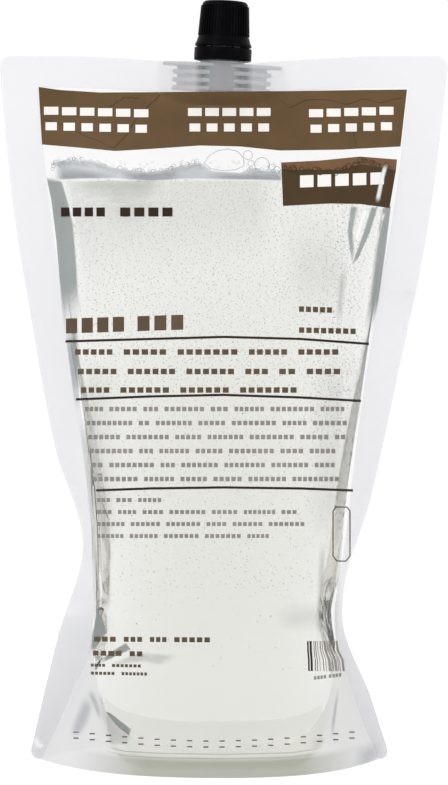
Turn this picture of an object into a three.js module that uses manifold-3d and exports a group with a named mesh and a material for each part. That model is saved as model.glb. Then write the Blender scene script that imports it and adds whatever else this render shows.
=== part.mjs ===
// A one-litre stand-up refill pack for liquid hand soap: two clear wall films and a folded
// base film, sealed around a moulded spout with a ribbed screw cap and its tamper band.
// Millimetres, +Z up, the front wall faces -Y, the origin is the middle of the base.

import * as THREE from "three";
import { mergeVertices } from "three/addons/utils/BufferGeometryUtils.js";
import Module from "manifold-3d";

const wasm = await Module();
wasm.setup();

// Film pouch
const filmHeight = 268.5;
const topDip = 2.7;
const topDipReach = 0.75;
const filmThickness = 0.2;
const sheetGap = 0.3;
const sideSealWidth = 14;
const topSealHeight = 12;
const topHalfWidth = 85.2;
const topCornerRadius = 5;
const bottomCornerRadius = 4;
const cornerTackWidth = 5;
const maxSheetSlope = 3.5;
const leftWaistSeal = 5.5;
const rightWaistSeal = 3.5;

// Outer edge of the filled pouch: height above the floor and distance from the middle
const leftWaistHeight = 81;
const leftWaistHalf = 54.6;
const leftBaseHalf = 74.8;
const leftEdge = [
  [0, leftBaseHalf],
  [24, 69.2],
  [47, 63.6],
  [leftWaistHeight, leftWaistHalf],
  [119, 64.6],
  [176, 74.6],
  [214, 80.3],
  [filmHeight, topHalfWidth],
];
const rightWaistHeight = 55;
const rightWaistHalf = 45.5;
const rightBaseHalf = 64;
const rightEdge = [
  [0, rightBaseHalf],
  [24, 56.3],
  [rightWaistHeight, rightWaistHalf],
  [100, 56.9],
  [138, 64.9],
  [214, 79],
  [filmHeight, topHalfWidth],
];

// Inner edge of the side seals, where the two walls part
const leftSeam = [
  [0, leftBaseHalf - cornerTackWidth],
  [24, 59],
  [47, 50.4],
  [leftWaistHeight, leftWaistHalf - leftWaistSeal],
  [119, 52.4],
  [176, 61],
  [214, 66.4],
  [filmHeight, topHalfWidth - sideSealWidth],
];
const rightSeam = [
  [0, rightBaseHalf - cornerTackWidth],
  [24, 50],
  [rightWaistHeight, rightWaistHalf - rightWaistSeal],
  [81, 46],
  [119, 50.4],
  [176, 58.6],
  [214, 65],
  [filmHeight, topHalfWidth - sideSealWidth],
];
const sealTurnStart = 48;
const sealTurnFull = 76;

// Depth of the filled body, from the middle plane to either wall
const baseHalfDepth = 35;
const bellyHalfDepth = 37;
const fillHalfDepth = 17;
const headSpace = 45;
const fillHeight = filmHeight - headSpace;
const halfDepths = [
  [0, baseHalfDepth],
  [12, baseHalfDepth],
  [60, bellyHalfDepth],
  [119, 33.5],
  [176, 25.5],
  [fillHeight, fillHalfDepth],
  [filmHeight - topSealHeight, 0],
];
const sectionFullness = 0.5;

// Folded base film, with its U-shaped seal
const foldHeight = 46;
const baseSealHeight = 9.6;
const baseSealSteepness = 3.5;
const baseFlatShare = 0.42;
const foldSteepness = 2.6;
const flatDepthShare = 0.6;
const foldCoverStart = 4;
const foldCoverEnd = 14;
const soapFloorGap = 0.9;
const maxFilmStretch = 9;
const maxEdgeStretch = 3;

// Spout, measured from the top of its flange
const spoutLean = THREE.MathUtils.degToRad(2.75);
const spoutOffset = -0.5;
const spoutDrop = 0.4;
const boreRadius = 4.8;
const boatHeight = 10.6;
const boatCoreHalfLength = 17;
const boatCoreHalfDepth = 5.2;
const ribHalfLength = 18.7;
const ribHalfDepth = 7.6;
const ribThickness = 1.7;
const ribCount = 3;
const flangeHalfLength = 22.6;
const flangeHalfDepth = 8;
const flangeThickness = 1.4;
const boatTubeRadius = 7.8;
const collarRadius = 8.4;
const collarHeight = 0.8;
const throatRadius = 7.4;
const neckRadius = 6.5;
const neckHeight = 20.7;
const boreOvershoot = 1;
const lipChamfer = 0.4;
const boatCoverMargin = 2.5;
const boatCoverFade = 14;

// Screw thread
const threadLead = 3;
const threadTurns = 2;
const threadStart = 8.3;
const threadRidgeRadius = 0.7;
const capRidgeRadius = 0.6;
const threadSink = 0.1;
const capThreadTurns = 1.5;

// Catch bead and tamper band
const beadBottom = 3.6;
const beadHeight = 1.3;
const beadRadius = 9;
const bandRadius = 10.85;
const bandWall = 1.45;
const bandBottom = 1.1;
const bandTop = 5.9;
const bandBevel = 0.4;
const lugClearance = 0.4;
const lugThickness = 1.9;

// Cap and its liner
const slitWidth = 0.5;
const capBottom = bandTop + slitWidth;
const capConeHeight = 3.8;
const capFootRadius = 10.7;
const capWaistRadius = 9.5;
const capTopRadius = 8.7;
const capTopRounding = 1.6;
const capBoreRadius = 7.8;
const capRoof = 1.2;
const linerRadius = 7.4;
const linerThickness = 1;
const fitGap = 0.3;
const gripRibCount = 24;
const gripRibWidth = 0.7;
const gripRibProud = 0.3;

// Foam on the soap
const foamHeight = 5.5;
const foamWave = 2;
const foamWavePitch = 2.3;
const foamWaveShift = 0.2;
const foamRipple = 1;
const foamRipplePitch = 5;

// Mesh density
const bodyColumns = 16;
const cornerRows = 3;
const lowRows = 8;
const midRows = 8;
const highRows = 8;
const lowZoneTop = 62;
const highZoneBottom = 204;
const foldSteps = 9;
const roundSegments = 40;
const ovalSegments = 10;
const ridgeSegments = 3;
const ridgeStepsPerTurn = 18;
const capRoundingSteps = 3;
const columnCrowding = 0.25;

const seamShare = 1 - sideSealWidth / topHalfWidth;
const contentsShare = 0.965;

function smoothstep(from, to, value) {
  const t = Math.min(Math.max((value - from) / (to - from), 0), 1);
  return t * t * (3 - 2 * t);
}

// Reads a smooth curve through [height, value] points, without overshoot between them
function smoothCurve(points, height) {
  const last = points.length - 1;
  const at = Math.min(Math.max(height, points[0][0]), points[last][0]);
  let i = 0;
  while (i < last - 1 && at > points[i + 1][0]) {
    i += 1;
  }
  const slope = (k) => (points[k + 1][1] - points[k][1]) / (points[k + 1][0] - points[k][0]);
  const tangent = (k) => {
    if (k === 0) {
      return slope(0);
    }
    if (k === last) {
      return slope(last - 1);
    }
    const before = slope(k - 1);
    const after = slope(k);
    return before * after <= 0 ? 0 : (2 * before * after) / (before + after);
  };
  const span = points[i + 1][0] - points[i][0];
  const t = (at - points[i][0]) / span;
  const start = (1 + 2 * t) * (1 - t) * (1 - t) * points[i][1];
  const end = t * t * (3 - 2 * t) * points[i + 1][1];
  const startPull = t * (1 - t) * (1 - t) * span * tangent(i);
  const endPull = t * t * (t - 1) * span * tangent(i + 1);
  return start + end + startPull + endPull;
}

// How far a rounded corner draws the edge in at a height
function cornerInset(z) {
  const top = Math.max(z - (filmHeight - topCornerRadius), 0);
  const bottom = Math.max(bottomCornerRadius - z, 0);
  const topInset = topCornerRadius - Math.sqrt(Math.max(topCornerRadius ** 2 - top ** 2, 0));
  const bottomInset = bottomCornerRadius - Math.sqrt(Math.max(bottomCornerRadius ** 2 - bottom ** 2, 0));
  return topInset + bottomInset;
}

// Place across the film for a share of its width, from -1 at the left edge to 1 at the right
function filmX(share, z) {
  const side = Math.sign(share);
  const edge = smoothCurve(side < 0 ? leftEdge : rightEdge, z) - cornerInset(z);
  const seam = smoothCurve(side < 0 ? leftSeam : rightSeam, z);
  const across = Math.abs(share);
  if (across <= seamShare) {
    return (side * seam * across) / seamShare;
  }
  return side * (seam + ((edge - seam) * (across - seamShare)) / (1 - seamShare));
}

// The side seals keep their width, so where they look narrow from the front they turn back
function sealTurn(share, z) {
  const across = (Math.abs(share) - seamShare) / (1 - seamShare);
  if (across <= 0) {
    return 0;
  }
  const edge = smoothCurve(share < 0 ? leftEdge : rightEdge, z);
  const seam = smoothCurve(share < 0 ? leftSeam : rightSeam, z);
  const shown = Math.min(edge - seam, sideSealWidth);
  const turned = Math.sqrt(sideSealWidth ** 2 - shown ** 2);
  return turned * across * smoothstep(sealTurnStart, sealTurnFull, z);
}

// Depth of a wall from the middle plane: the filled body, or the arch around the spout's boat
function wallBulge(share, z) {
  const across = Math.min(Math.abs(share) / seamShare, 1);
  const section = (1 - across ** 2) * (1 + sectionFullness * across ** 2);
  const body = smoothCurve(halfDepths, z) * section;
  const coverHalf = flangeHalfLength + boatCoverMargin;
  const coverDepth = collarRadius + sheetGap + filmThickness;
  const arch = coverDepth * Math.max(1 - ((filmX(share, z) - spoutOffset) / coverHalf) ** 2, 0);
  const sealBottom = filmHeight - topSealHeight;
  return Math.max(body, arch * smoothstep(sealBottom - boatCoverFade, sealBottom, z));
}

// How much longer a step across a sloping sheet is when it is taken along Y
function slopeStretch(share, z, face) {
  const step = 0.01;
  const point = (s, h) =>
    new THREE.Vector3(filmX(s, h), sealTurn(s, h) + face * wallBulge(s, h), h);
  const right = Math.min(share + step, 1);
  const left = Math.max(share - step, -1);
  const high = Math.min(z + 1, filmHeight);
  const low = Math.max(z - 1, 0);
  const along = point(right, z).sub(point(left, z));
  const up = point(share, high).sub(point(share, low));
  const normal = along.cross(up).normalize();
  return Math.min(1 / Math.abs(normal.y), maxSheetSlope);
}

// Half the room between the two walls at a seal, where the base film lies between them lower down
function sealRoom(z) {
  const open = sheetGap / 2;
  const withBase = open + filmThickness + sheetGap;
  const closing = smoothstep(foldHeight + foldCoverStart, foldHeight + foldCoverEnd, z);
  return withBase + (open - withBase) * closing;
}

// A point on a sheet that runs with a wall, "out" millimetres outwards from its inner face
function wallPoint(share, z, face, out) {
  const depth = wallBulge(share, z) + (sealRoom(z) + out) * slopeStretch(share, z, face);
  return new THREE.Vector3(filmX(share, z), sealTurn(share, z) + face * depth, z);
}

// Shares of the film's width at which its columns of vertices stand
function bodyShares() {
  const shares = [-contentsShare];
  for (let i = 1; i < bodyColumns; i += 1) {
    const t = (2 * i) / bodyColumns - 1;
    shares.push((1 - columnCrowding) * t + columnCrowding * Math.sin((Math.PI / 2) * t));
  }
  shares.push(contentsShare);
  return shares.map((share) => share * seamShare);
}

function filmShares() {
  return [-1, -seamShare, ...bodyShares(), seamShare, 1];
}

// Evenly spaced values from one end up to, but without, the other
function evenSteps(from, to, count) {
  return Array.from({ length: count }, (_, i) => from + ((to - from) * i) / count);
}

function bottomCornerHeights() {
  const angles = evenSteps(0, Math.PI / 2, cornerRows);
  return angles.map((angle) => bottomCornerRadius * (1 - Math.cos(angle)));
}

function topCornerHeights() {
  const angles = evenSteps(0, Math.PI / 2, cornerRows);
  const bottom = filmHeight - topCornerRadius;
  return [...angles, Math.PI / 2].map((angle) => bottom + topCornerRadius * Math.sin(angle));
}

function upperHeights() {
  return [
    ...evenSteps(lowZoneTop, highZoneBottom, midRows),
    ...evenSteps(highZoneBottom, filmHeight - topCornerRadius, highRows),
  ];
}

function lowerHeights() {
  return [...bottomCornerHeights(), ...evenSteps(bottomCornerRadius, lowZoneTop, lowRows)];
}

// Heights of a wall film's rows, closer together at its rounded corners
function wallHeights() {
  return [...lowerHeights(), ...upperHeights(), ...topCornerHeights()];
}

// Joins closed loops of points into one closed body. Each end loop is closed on itself, with its
// first point joined to its last, its second to the last but one, and so on. Every four-sided cell
// is split from its lower near corner to its upper far one, so that sheets that run side by side
// have the same facets, as have the two faces of one sheet.
function loftedBody(loops) {
  const count = loops[0].length;
  const points = loops.flat();
  const positions = points.flatMap((point) => [point.x, point.y, point.z]);
  const index = [];
  const bothSheets = (i, j) => points[i * count + j].z + points[i * count + count - 1 - j].z;
  const level = (i, j) => bothSheets(i, j) + bothSheets(i + 1, j);
  for (let i = 0; i + 1 < loops.length; i += 1) {
    for (let j = 0; j < count; j += 1) {
      const next = (j + 1) % count;
      const a = i * count + j;
      const b = i * count + next;
      const c = a + count;
      const d = b + count;
      if (level(i, j) < level(i, next)) {
        index.push(a, b, d, a, d, c);
      } else {
        index.push(a, b, c, b, d, c);
      }
    }
  }
  const lastLoop = (loops.length - 1) * count;
  for (let j = 0; j + 1 < count / 2; j += 1) {
    const corners = [j, j + 1, count - 2 - j, count - 1 - j];
    const [a, b, c, d] = corners;
    index.push(a, c, b, a, d, c);
    const [e, f, g, h] = corners.map((corner) => corner + lastLoop);
    index.push(e, f, g, e, g, h);
  }
  const geometry = new THREE.BufferGeometry();
  geometry.setAttribute("position", new THREE.Float32BufferAttribute(positions, 3));
  geometry.setIndex(index);
  return facesOut(dropThinFaces(geometry));
}

// Removes the triangles whose corners fall together
function dropThinFaces(geometry) {
  const merged = mergeVertices(geometry, 1e-4);
  const index = merged.index.array;
  const kept = [];
  for (let i = 0; i < index.length; i += 3) {
    const [a, b, c] = [index[i], index[i + 1], index[i + 2]];
    if (a !== b && b !== c && a !== c) {
      kept.push(a, b, c);
    }
  }
  merged.setIndex(kept);
  return merged;
}

// Turns the faces outwards, told by the sign of the enclosed volume
function facesOut(geometry) {
  const position = geometry.attributes.position;
  const index = geometry.index.array;
  const corner = (k) => new THREE.Vector3().fromBufferAttribute(position, k);
  let volume = 0;
  for (let i = 0; i < index.length; i += 3) {
    const [a, b, c] = [corner(index[i]), corner(index[i + 1]), corner(index[i + 2])];
    volume += a.dot(b.cross(c));
  }
  if (volume < 0) {
    for (let i = 0; i < index.length; i += 3) {
      [index[i], index[i + 1]] = [index[i + 1], index[i]];
    }
  }
  return geometry;
}

// The top edge dips towards the spout
function dippedHeight(share, z) {
  const dip = topDip * (1 - smoothstep(0, topDipReach, Math.abs(share)));
  return z - dip * smoothstep(highZoneBottom, filmHeight, z);
}

function wallFilm(face) {
  const loops = filmShares().map((share) => {
    const heights = wallHeights().map((z) => dippedHeight(share, z));
    const outer = heights.map((z) => wallPoint(share, z, face, filmThickness));
    const inner = heights.map((z) => wallPoint(share, z, face, 0));
    return [...outer, ...inner.reverse()];
  });
  return loftedBody(loops);
}

// Height of the U-shaped seal that joins the base film to the walls
function baseSeal(share) {
  const across = Math.min(Math.abs(share) / seamShare, 1);
  return baseSealHeight + (foldHeight - baseSealHeight) * across ** baseSealSteepness;
}

// Height of the base film's middle line: flat on the floor, up to the fold at the side seals
function baseValley(share) {
  const across = Math.min(Math.abs(share) / seamShare, 1);
  const climb = Math.max((across - baseFlatShare) / (1 - baseFlatShare), 0);
  return foldHeight * climb ** foldSteepness;
}

// Height of the base film's under face, for t from -1 at the front seal to 1 at the back seal
function baseHeight(share, t) {
  const rise = Math.max((Math.abs(t) - flatDepthShare) / (1 - flatDepthShare), 0);
  const valley = baseValley(share);
  return valley + (baseSeal(share) - valley) * rise ** 2;
}

// How much longer a step through the sloping base film is when it is taken upwards
function baseStretch(share, t, reach, most) {
  const step = 0.005;
  const right = Math.min(share + step, 1);
  const left = Math.max(share - step, -1);
  const run = filmX(right, baseSeal(right)) - filmX(left, baseSeal(left));
  const across = (baseHeight(right, t) - baseHeight(left, t)) / run;
  const near = Math.min(Math.abs(t), 1 - step);
  const climb = baseHeight(share, near + step) - baseHeight(share, near);
  const deep = climb / (step * Math.max(reach, 1));
  return Math.min(Math.hypot(1, across, deep), most);
}

// A point across the base, "above" millimetres over the film's under face. Only its ends at the
// seals lie "out" millimetres from the walls' inner faces.
function basePoint(share, t, out, above, mostStretch) {
  const seal = baseSeal(share);
  const underFace = -sheetGap - filmThickness;
  const edge = wallPoint(share, seal, 1, Math.abs(t) < 1 ? underFace : out);
  const middle = sealTurn(share, seal);
  const reach = edge.y - middle;
  const height = baseHeight(share, t) + above * baseStretch(share, t, reach, mostStretch);
  return new THREE.Vector3(edge.x, middle + t * reach, height);
}

function baseFilm() {
  const underOut = -sheetGap - filmThickness;
  const upperOut = -sheetGap;
  const skirtHeights = lowerHeights().filter((z) => z < foldHeight);
  const sheetSide = (share, out, above) => {
    const top = baseSeal(share) + above;
    const heights = skirtHeights.map((z) => Math.min(z, top));
    const front = heights.map((z) => wallPoint(share, z, -1, out));
    const under = [...evenSteps(-1, 1, foldSteps), 1].map((t) => {
      const most = Math.abs(t) < 1 ? maxFilmStretch : maxEdgeStretch;
      return basePoint(share, t, out, above, most);
    });
    const back = heights.map((z) => wallPoint(share, z, 1, out));
    return [...front, ...under, ...back.reverse()];
  };
  const loops = filmShares().map((share) => {
    const under = sheetSide(share, underOut, 0);
    const upper = sheetSide(share, upperOut, filmThickness);
    return [...upper, ...under.reverse()];
  });
  return loftedBody(loops);
}

function soapBody() {
  const clear = filmThickness + soapFloorGap;
  const loops = bodyShares().map((share) => {
    const floor = basePoint(share, 1, -sheetGap, clear, maxEdgeStretch).z;
    const lower = lowerHeights().filter((z) => z > baseSealHeight);
    const upper = upperHeights().filter((z) => z < fillHeight);
    const heights = [
      floor,
      ...lower.map((z) => Math.max(z, floor)),
      ...upper.map((z) => dippedHeight(share, z)),
      fillHeight,
    ];
    const front = heights.map((z) => wallPoint(share, z, -1, -sheetGap));
    const back = heights.map((z) => wallPoint(share, z, 1, -sheetGap));
    const underSteps = evenSteps(-1, 1, foldSteps).slice(1);
    const under = underSteps.map((t) => {
      return basePoint(share, t, -sheetGap, clear, maxEdgeStretch);
    });
    const toFront = under.slice(0, under.length / 2).reverse();
    const toBack = under.slice(under.length / 2).reverse();
    return [...toFront, ...front, ...back.reverse(), ...toBack];
  });
  return loftedBody(loops);
}

// Top of the foam, in low waves across the pack
function foamTop(share) {
  const wave = foamWave * Math.cos(Math.PI * (foamWavePitch * share + foamWaveShift));
  const ripple = foamRipple * Math.cos(Math.PI * foamRipplePitch * share);
  return fillHeight + sheetGap + foamHeight + wave + ripple;
}

function foamBody() {
  const floor = fillHeight + sheetGap;
  const loops = bodyShares().map((share) => {
    const top = foamTop(share);
    const heights = [floor, (floor + top) / 2, top];
    const front = heights.map((z) => wallPoint(share, z, -1, -2 * sheetGap));
    const back = heights.map((z) => wallPoint(share, z, 1, -2 * sheetGap));
    return [...front, ...back.reverse()];
  });
  return loftedBody(loops);
}

function toSolid(geometry) {
  geometry.deleteAttribute("normal");
  geometry.deleteAttribute("uv");
  const merged = dropThinFaces(geometry);
  return new wasm.Manifold(new wasm.Mesh({
    numProp: 3,
    vertProperties: new Float32Array(merged.attributes.position.array),
    triVerts: new Uint32Array(merged.index.array),
  }));
}

function toGeometry(solid) {
  const mesh = solid.getMesh();
  const geometry = new THREE.BufferGeometry();
  geometry.setAttribute("position", new THREE.BufferAttribute(mesh.vertProperties, 3));
  geometry.setIndex(new THREE.BufferAttribute(mesh.triVerts, 1));
  return geometry;
}

// Turns a profile of [radius, height] points into a solid
function turned(profile) {
  const points = profile.map(([radius, z]) => new THREE.Vector2(radius, z));
  const geometry = new THREE.LatheGeometry(points, roundSegments).rotateX(Math.PI / 2);
  geometry.deleteAttribute("normal");
  geometry.deleteAttribute("uv");
  return toSolid(facesOut(dropThinFaces(geometry)));
}

// A plate with a pointed oval outline, its two arcs meeting at the tips
function ovalPlate(halfLength, halfDepth, thickness, bottom) {
  const radius = (halfLength ** 2 + halfDepth ** 2) / (2 * halfDepth);
  const reach = Math.asin(halfLength / radius);
  const shape = new THREE.Shape();
  shape.absarc(0, halfDepth - radius, radius, Math.PI / 2 - reach, Math.PI / 2 + reach, false);
  shape.absarc(0, radius - halfDepth, radius, -Math.PI / 2 - reach, -Math.PI / 2 + reach, false);
  const geometry = new THREE.ExtrudeGeometry(shape, {
    depth: thickness,
    bevelEnabled: false,
    curveSegments: ovalSegments,
  });
  return toSolid(geometry.translate(0, 0, bottom));
}

// A right-hand helical ridge with a round section
function threadRidge(radius, ridgeRadius, start, turns) {
  class Helix extends THREE.Curve {
    getPoint(t, target = new THREE.Vector3()) {
      const angle = 2 * Math.PI * turns * t;
      return target.set(
        radius * Math.cos(angle),
        radius * Math.sin(angle),
        start + threadLead * turns * t,
      );
    }
  }
  const section = new THREE.Shape();
  section.absarc(0, 0, ridgeRadius, 0, 2 * Math.PI, false);
  const geometry = new THREE.ExtrudeGeometry(section, {
    steps: Math.round(ridgeStepsPerTurn * turns),
    bevelEnabled: false,
    curveSegments: ridgeSegments,
    extrudePath: new Helix(),
  });
  return toSolid(geometry);
}

function spoutBody() {
  let body = ovalPlate(boatCoreHalfLength, boatCoreHalfDepth, boatHeight, -boatHeight);
  body = body.add(ovalPlate(flangeHalfLength, flangeHalfDepth, flangeThickness, -flangeThickness));
  const ribPitch = (boatHeight - flangeThickness) / ribCount;
  for (let i = 0; i < ribCount; i += 1) {
    body = body.add(ovalPlate(ribHalfLength, ribHalfDepth, ribThickness, -boatHeight + i * ribPitch));
  }
  const outline = [
    [0, -boatHeight],
    [boatTubeRadius, -boatHeight],
    [boatTubeRadius, 0],
    [collarRadius, 0],
    [collarRadius, collarHeight],
    [throatRadius, collarHeight],
    [throatRadius, beadBottom],
    [beadRadius, beadBottom],
    [beadRadius, beadBottom + beadHeight / 3],
    [neckRadius, beadBottom + beadHeight],
    [neckRadius, neckHeight - lipChamfer],
    [neckRadius - lipChamfer, neckHeight],
    [0, neckHeight],
  ];
  body = body.add(turned(outline));
  body = body.add(threadRidge(neckRadius + threadSink, threadRidgeRadius, threadStart, threadTurns));
  const bore = turned([
    [0, -boatHeight - boreOvershoot],
    [boreRadius, -boatHeight - boreOvershoot],
    [boreRadius, neckHeight + boreOvershoot],
    [0, neckHeight + boreOvershoot],
  ]);
  return toGeometry(body.subtract(bore));
}

function tamperBandBody() {
  const lugTop = beadBottom - fitGap;
  const lugRadius = throatRadius + lugClearance;
  const inner = bandRadius - bandWall;
  return toGeometry(turned([
    [inner, bandTop],
    [inner, lugTop],
    [lugRadius, lugTop],
    [lugRadius, lugTop - lugThickness / 2],
    [inner, lugTop - lugThickness],
    [inner, bandBottom],
    [bandRadius - bandBevel, bandBottom],
    [bandRadius, bandBottom + bandBevel],
    [bandRadius, bandTop - bandBevel],
    [bandRadius - bandBevel / 2, bandTop],
    [inner, bandTop],
  ]));
}

const linerBottom = neckHeight + fitGap;
const linerTop = linerBottom + linerThickness;
const capCeiling = linerTop + fitGap;
const capTop = capCeiling + capRoof;

function capBody() {
  const coneTop = capBottom + capConeHeight;
  const roundingBottom = capTop - capTopRounding;
  const profile = [
    [0, capCeiling],
    [capBoreRadius, capCeiling],
    [capBoreRadius, coneTop],
    [capBoreRadius + capFootRadius - capWaistRadius, capBottom],
    [capFootRadius, capBottom],
    [capWaistRadius, coneTop],
    [capTopRadius, roundingBottom],
  ];
  for (let i = 1; i <= capRoundingSteps; i += 1) {
    const angle = (Math.PI / 2) * (i / capRoundingSteps);
    profile.push([
      capTopRadius - capTopRounding * (1 - Math.cos(angle)),
      roundingBottom + capTopRounding * Math.sin(angle),
    ]);
  }
  profile.push([0, capTop]);
  let body = turned(profile);
  const gripHeight = roundingBottom - coneTop;
  const taper = Math.atan((capWaistRadius - capTopRadius) / gripHeight);
  for (let i = 0; i < gripRibCount; i += 1) {
    const rib = new THREE.BoxGeometry(2 * gripRibProud, gripRibWidth, gripHeight);
    rib.rotateY(-taper);
    rib.translate((capWaistRadius + capTopRadius) / 2, 0, coneTop + gripHeight / 2);
    rib.rotateZ((2 * Math.PI * i) / gripRibCount);
    body = body.add(toSolid(rib));
  }
  const ridgeStart = threadStart + threadLead / 2;
  const ridgeRun = capBoreRadius - threadSink;
  return toGeometry(body.add(threadRidge(ridgeRun, capRidgeRadius, ridgeStart, capThreadTurns)));
}

function linerBody() {
  return toGeometry(turned([
    [0, linerBottom],
    [linerRadius, linerBottom],
    [linerRadius, linerTop],
    [0, linerTop],
  ]));
}

const clearFilm = new THREE.MeshStandardMaterial({
  color: 0xeceef0,
  roughness: 0.22,
  metalness: 0,
  transparent: true,
  opacity: 0.35,
});
const soapMaterial = new THREE.MeshStandardMaterial({
  color: 0xe4e8de,
  roughness: 0.1,
  metalness: 0,
  transparent: true,
  opacity: 0.6,
});
const foamMaterial = new THREE.MeshStandardMaterial({
  color: 0xdfe3e2,
  roughness: 0.35,
  metalness: 0,
  transparent: true,
  opacity: 0.6,
});
const spoutPlastic = new THREE.MeshStandardMaterial({
  color: 0xc4c7c9,
  roughness: 0.4,
  metalness: 0,
});
const capPlastic = new THREE.MeshStandardMaterial({
  color: 0x0b0b0d,
  roughness: 0.35,
  metalness: 0,
});
const linerFoam = new THREE.MeshStandardMaterial({
  color: 0xeeeeea,
  roughness: 0.8,
  metalness: 0,
});

function namedMesh(name, geometry, material) {
  const mesh = new THREE.Mesh(geometry, material);
  mesh.name = name;
  return mesh;
}

const pouch = new THREE.Group();
pouch.add(namedMesh("front_film", wallFilm(-1), clearFilm));
pouch.add(namedMesh("back_film", wallFilm(1), clearFilm));
pouch.add(namedMesh("base_film", baseFilm(), clearFilm));
pouch.add(namedMesh("soap", soapBody(), soapMaterial));
pouch.add(namedMesh("foam", foamBody(), foamMaterial));

const closure = new THREE.Group();
closure.position.set(spoutOffset, 0, filmHeight - topDip - spoutDrop);
closure.rotation.y = spoutLean;
closure.add(namedMesh("spout", spoutBody(), spoutPlastic));
closure.add(namedMesh("tamper_band", tamperBandBody(), capPlastic));
closure.add(namedMesh("cap", capBody(), capPlastic));
closure.add(namedMesh("cap_liner", linerBody(), linerFoam));

const refillPack = new THREE.Group();
refillPack.add(pouch);
refillPack.add(closure);
refillPack.updateMatrixWorld(true);

export default refillPack;
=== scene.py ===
import math
import random

import bpy
import numpy as np
from mathutils import Matrix, Vector


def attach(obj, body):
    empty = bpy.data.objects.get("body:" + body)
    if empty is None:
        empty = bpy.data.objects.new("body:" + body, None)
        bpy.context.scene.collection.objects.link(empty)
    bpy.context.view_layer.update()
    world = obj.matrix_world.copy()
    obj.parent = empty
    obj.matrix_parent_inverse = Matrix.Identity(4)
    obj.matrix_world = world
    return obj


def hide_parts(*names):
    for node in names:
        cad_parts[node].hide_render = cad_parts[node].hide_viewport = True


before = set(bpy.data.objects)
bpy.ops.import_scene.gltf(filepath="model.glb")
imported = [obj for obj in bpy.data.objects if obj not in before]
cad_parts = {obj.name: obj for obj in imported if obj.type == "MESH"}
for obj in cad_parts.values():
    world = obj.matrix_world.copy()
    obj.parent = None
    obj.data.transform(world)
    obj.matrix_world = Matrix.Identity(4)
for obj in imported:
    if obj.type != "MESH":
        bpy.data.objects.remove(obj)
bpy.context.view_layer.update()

# Sizes of the pouch in millimetres, as in the part
FILM_HEIGHT = 268.5
FILM_THICKNESS = 0.2
SHEET_GAP = 0.3
SIDE_SEAL_WIDTH = 14.0
TOP_SEAL_HEIGHT = 12.0
TOP_HALF_WIDTH = 85.2
TOP_CORNER_RADIUS = 5.0
BOTTOM_CORNER_RADIUS = 4.0
TOP_DIP = 2.7
TOP_DIP_REACH = 0.75
TOP_DIP_START = 204.0
SEAL_TURN_START = 48.0
SEAL_TURN_FULL = 76.0
SECTION_FULLNESS = 0.5
HEAD_SPACE = 45.0
FOLD_HEIGHT = 46.0
BASE_SEAL_HEIGHT = 9.6
BASE_SEAL_STEEPNESS = 3.5
BASE_FLAT_SHARE = 0.42
FOLD_STEEPNESS = 2.6
FLAT_DEPTH_SHARE = 0.6
MAX_SHEET_SLOPE = 3.5
SOAP_FLOOR_GAP = 0.3
SOAP_WIDTH_SHARE = 0.965

SEAM = 1 - SIDE_SEAL_WIDTH / TOP_HALF_WIDTH
SEAM_AT_TOP = TOP_HALF_WIDTH - SIDE_SEAL_WIDTH
SEAL_BOTTOM = FILM_HEIGHT - TOP_SEAL_HEIGHT
FILL_HEIGHT = FILM_HEIGHT - HEAD_SPACE

# Heights with the half width out to the edge and to the seam, and with the half depth
LEFT_EDGE = [
    [0, 74.8], [24, 69.2], [47, 63.6], [81, 54.6], [119, 64.6], [176, 74.6], [214, 80.3],
    [FILM_HEIGHT, TOP_HALF_WIDTH]]
RIGHT_EDGE = [
    [0, 64], [24, 56.3], [55, 45.5], [100, 56.9], [138, 64.9], [214, 79], [FILM_HEIGHT, TOP_HALF_WIDTH]]
LEFT_SEAM = [
    [0, 69.8], [24, 59], [47, 50.4], [81, 49.1], [119, 52.4], [176, 61], [214, 66.4],
    [FILM_HEIGHT, SEAM_AT_TOP]]
RIGHT_SEAM = [
    [0, 59], [24, 50], [55, 42], [81, 46], [119, 50.4], [176, 58.6], [214, 65], [FILM_HEIGHT, SEAM_AT_TOP]]
HALF_DEPTHS = [[0, 35], [12, 35], [60, 37], [119, 33.5], [176, 25.5], [FILL_HEIGHT, 17], [SEAL_BOTTOM, 0]]

# The arch of the walls over the spout's boat
ARCH_DEPTH = 8.9
ARCH_HALF_WIDTH = 25.1
ARCH_HEIGHT = 14.0
ARCH_EASING = 1.2
ARCH_EASING_DEPTH = 2.5

# Where the sheets close up above the fold of the base film
ROOM_START = FOLD_HEIGHT + 4
ROOM_END = FOLD_HEIGHT + 14

# Sizes of the spout and cap in millimetres, measured from the top of the flange
SPOUT_LEAN = math.radians(2.75)
SPOUT_OFFSET = -0.5
SPOUT_DROP = 0.4
BOAT_HEIGHT = 10.6
FLANGE_THICKNESS = 1.4
BORE_RADIUS = 4.8
NECK_RADIUS = 6.5
NECK_HEIGHT = 20.7
CAP_BOTTOM = 6.4
CAP_CONE_TOP = 10.2
CAP_TOP = 23.5

# The camera that took the photograph, in millimetres and in its pixels
PHOTO_WIDTH = 448
PHOTO_HEIGHT = 785
CAMERA_PLACE = (0.1, -1004.0, 205.0)
CAMERA_AIM = (0.1, 0.0, 141.0)
LENS = 121.1
SENSOR = 36.0


def spread(start, end, count):
    return np.linspace(start, end, count)


def smoothstep(start, end, value):
    t = np.clip((np.asarray(value, float) - start) / (end - start), 0, 1)
    return t * t * (3 - 2 * t)


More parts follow.
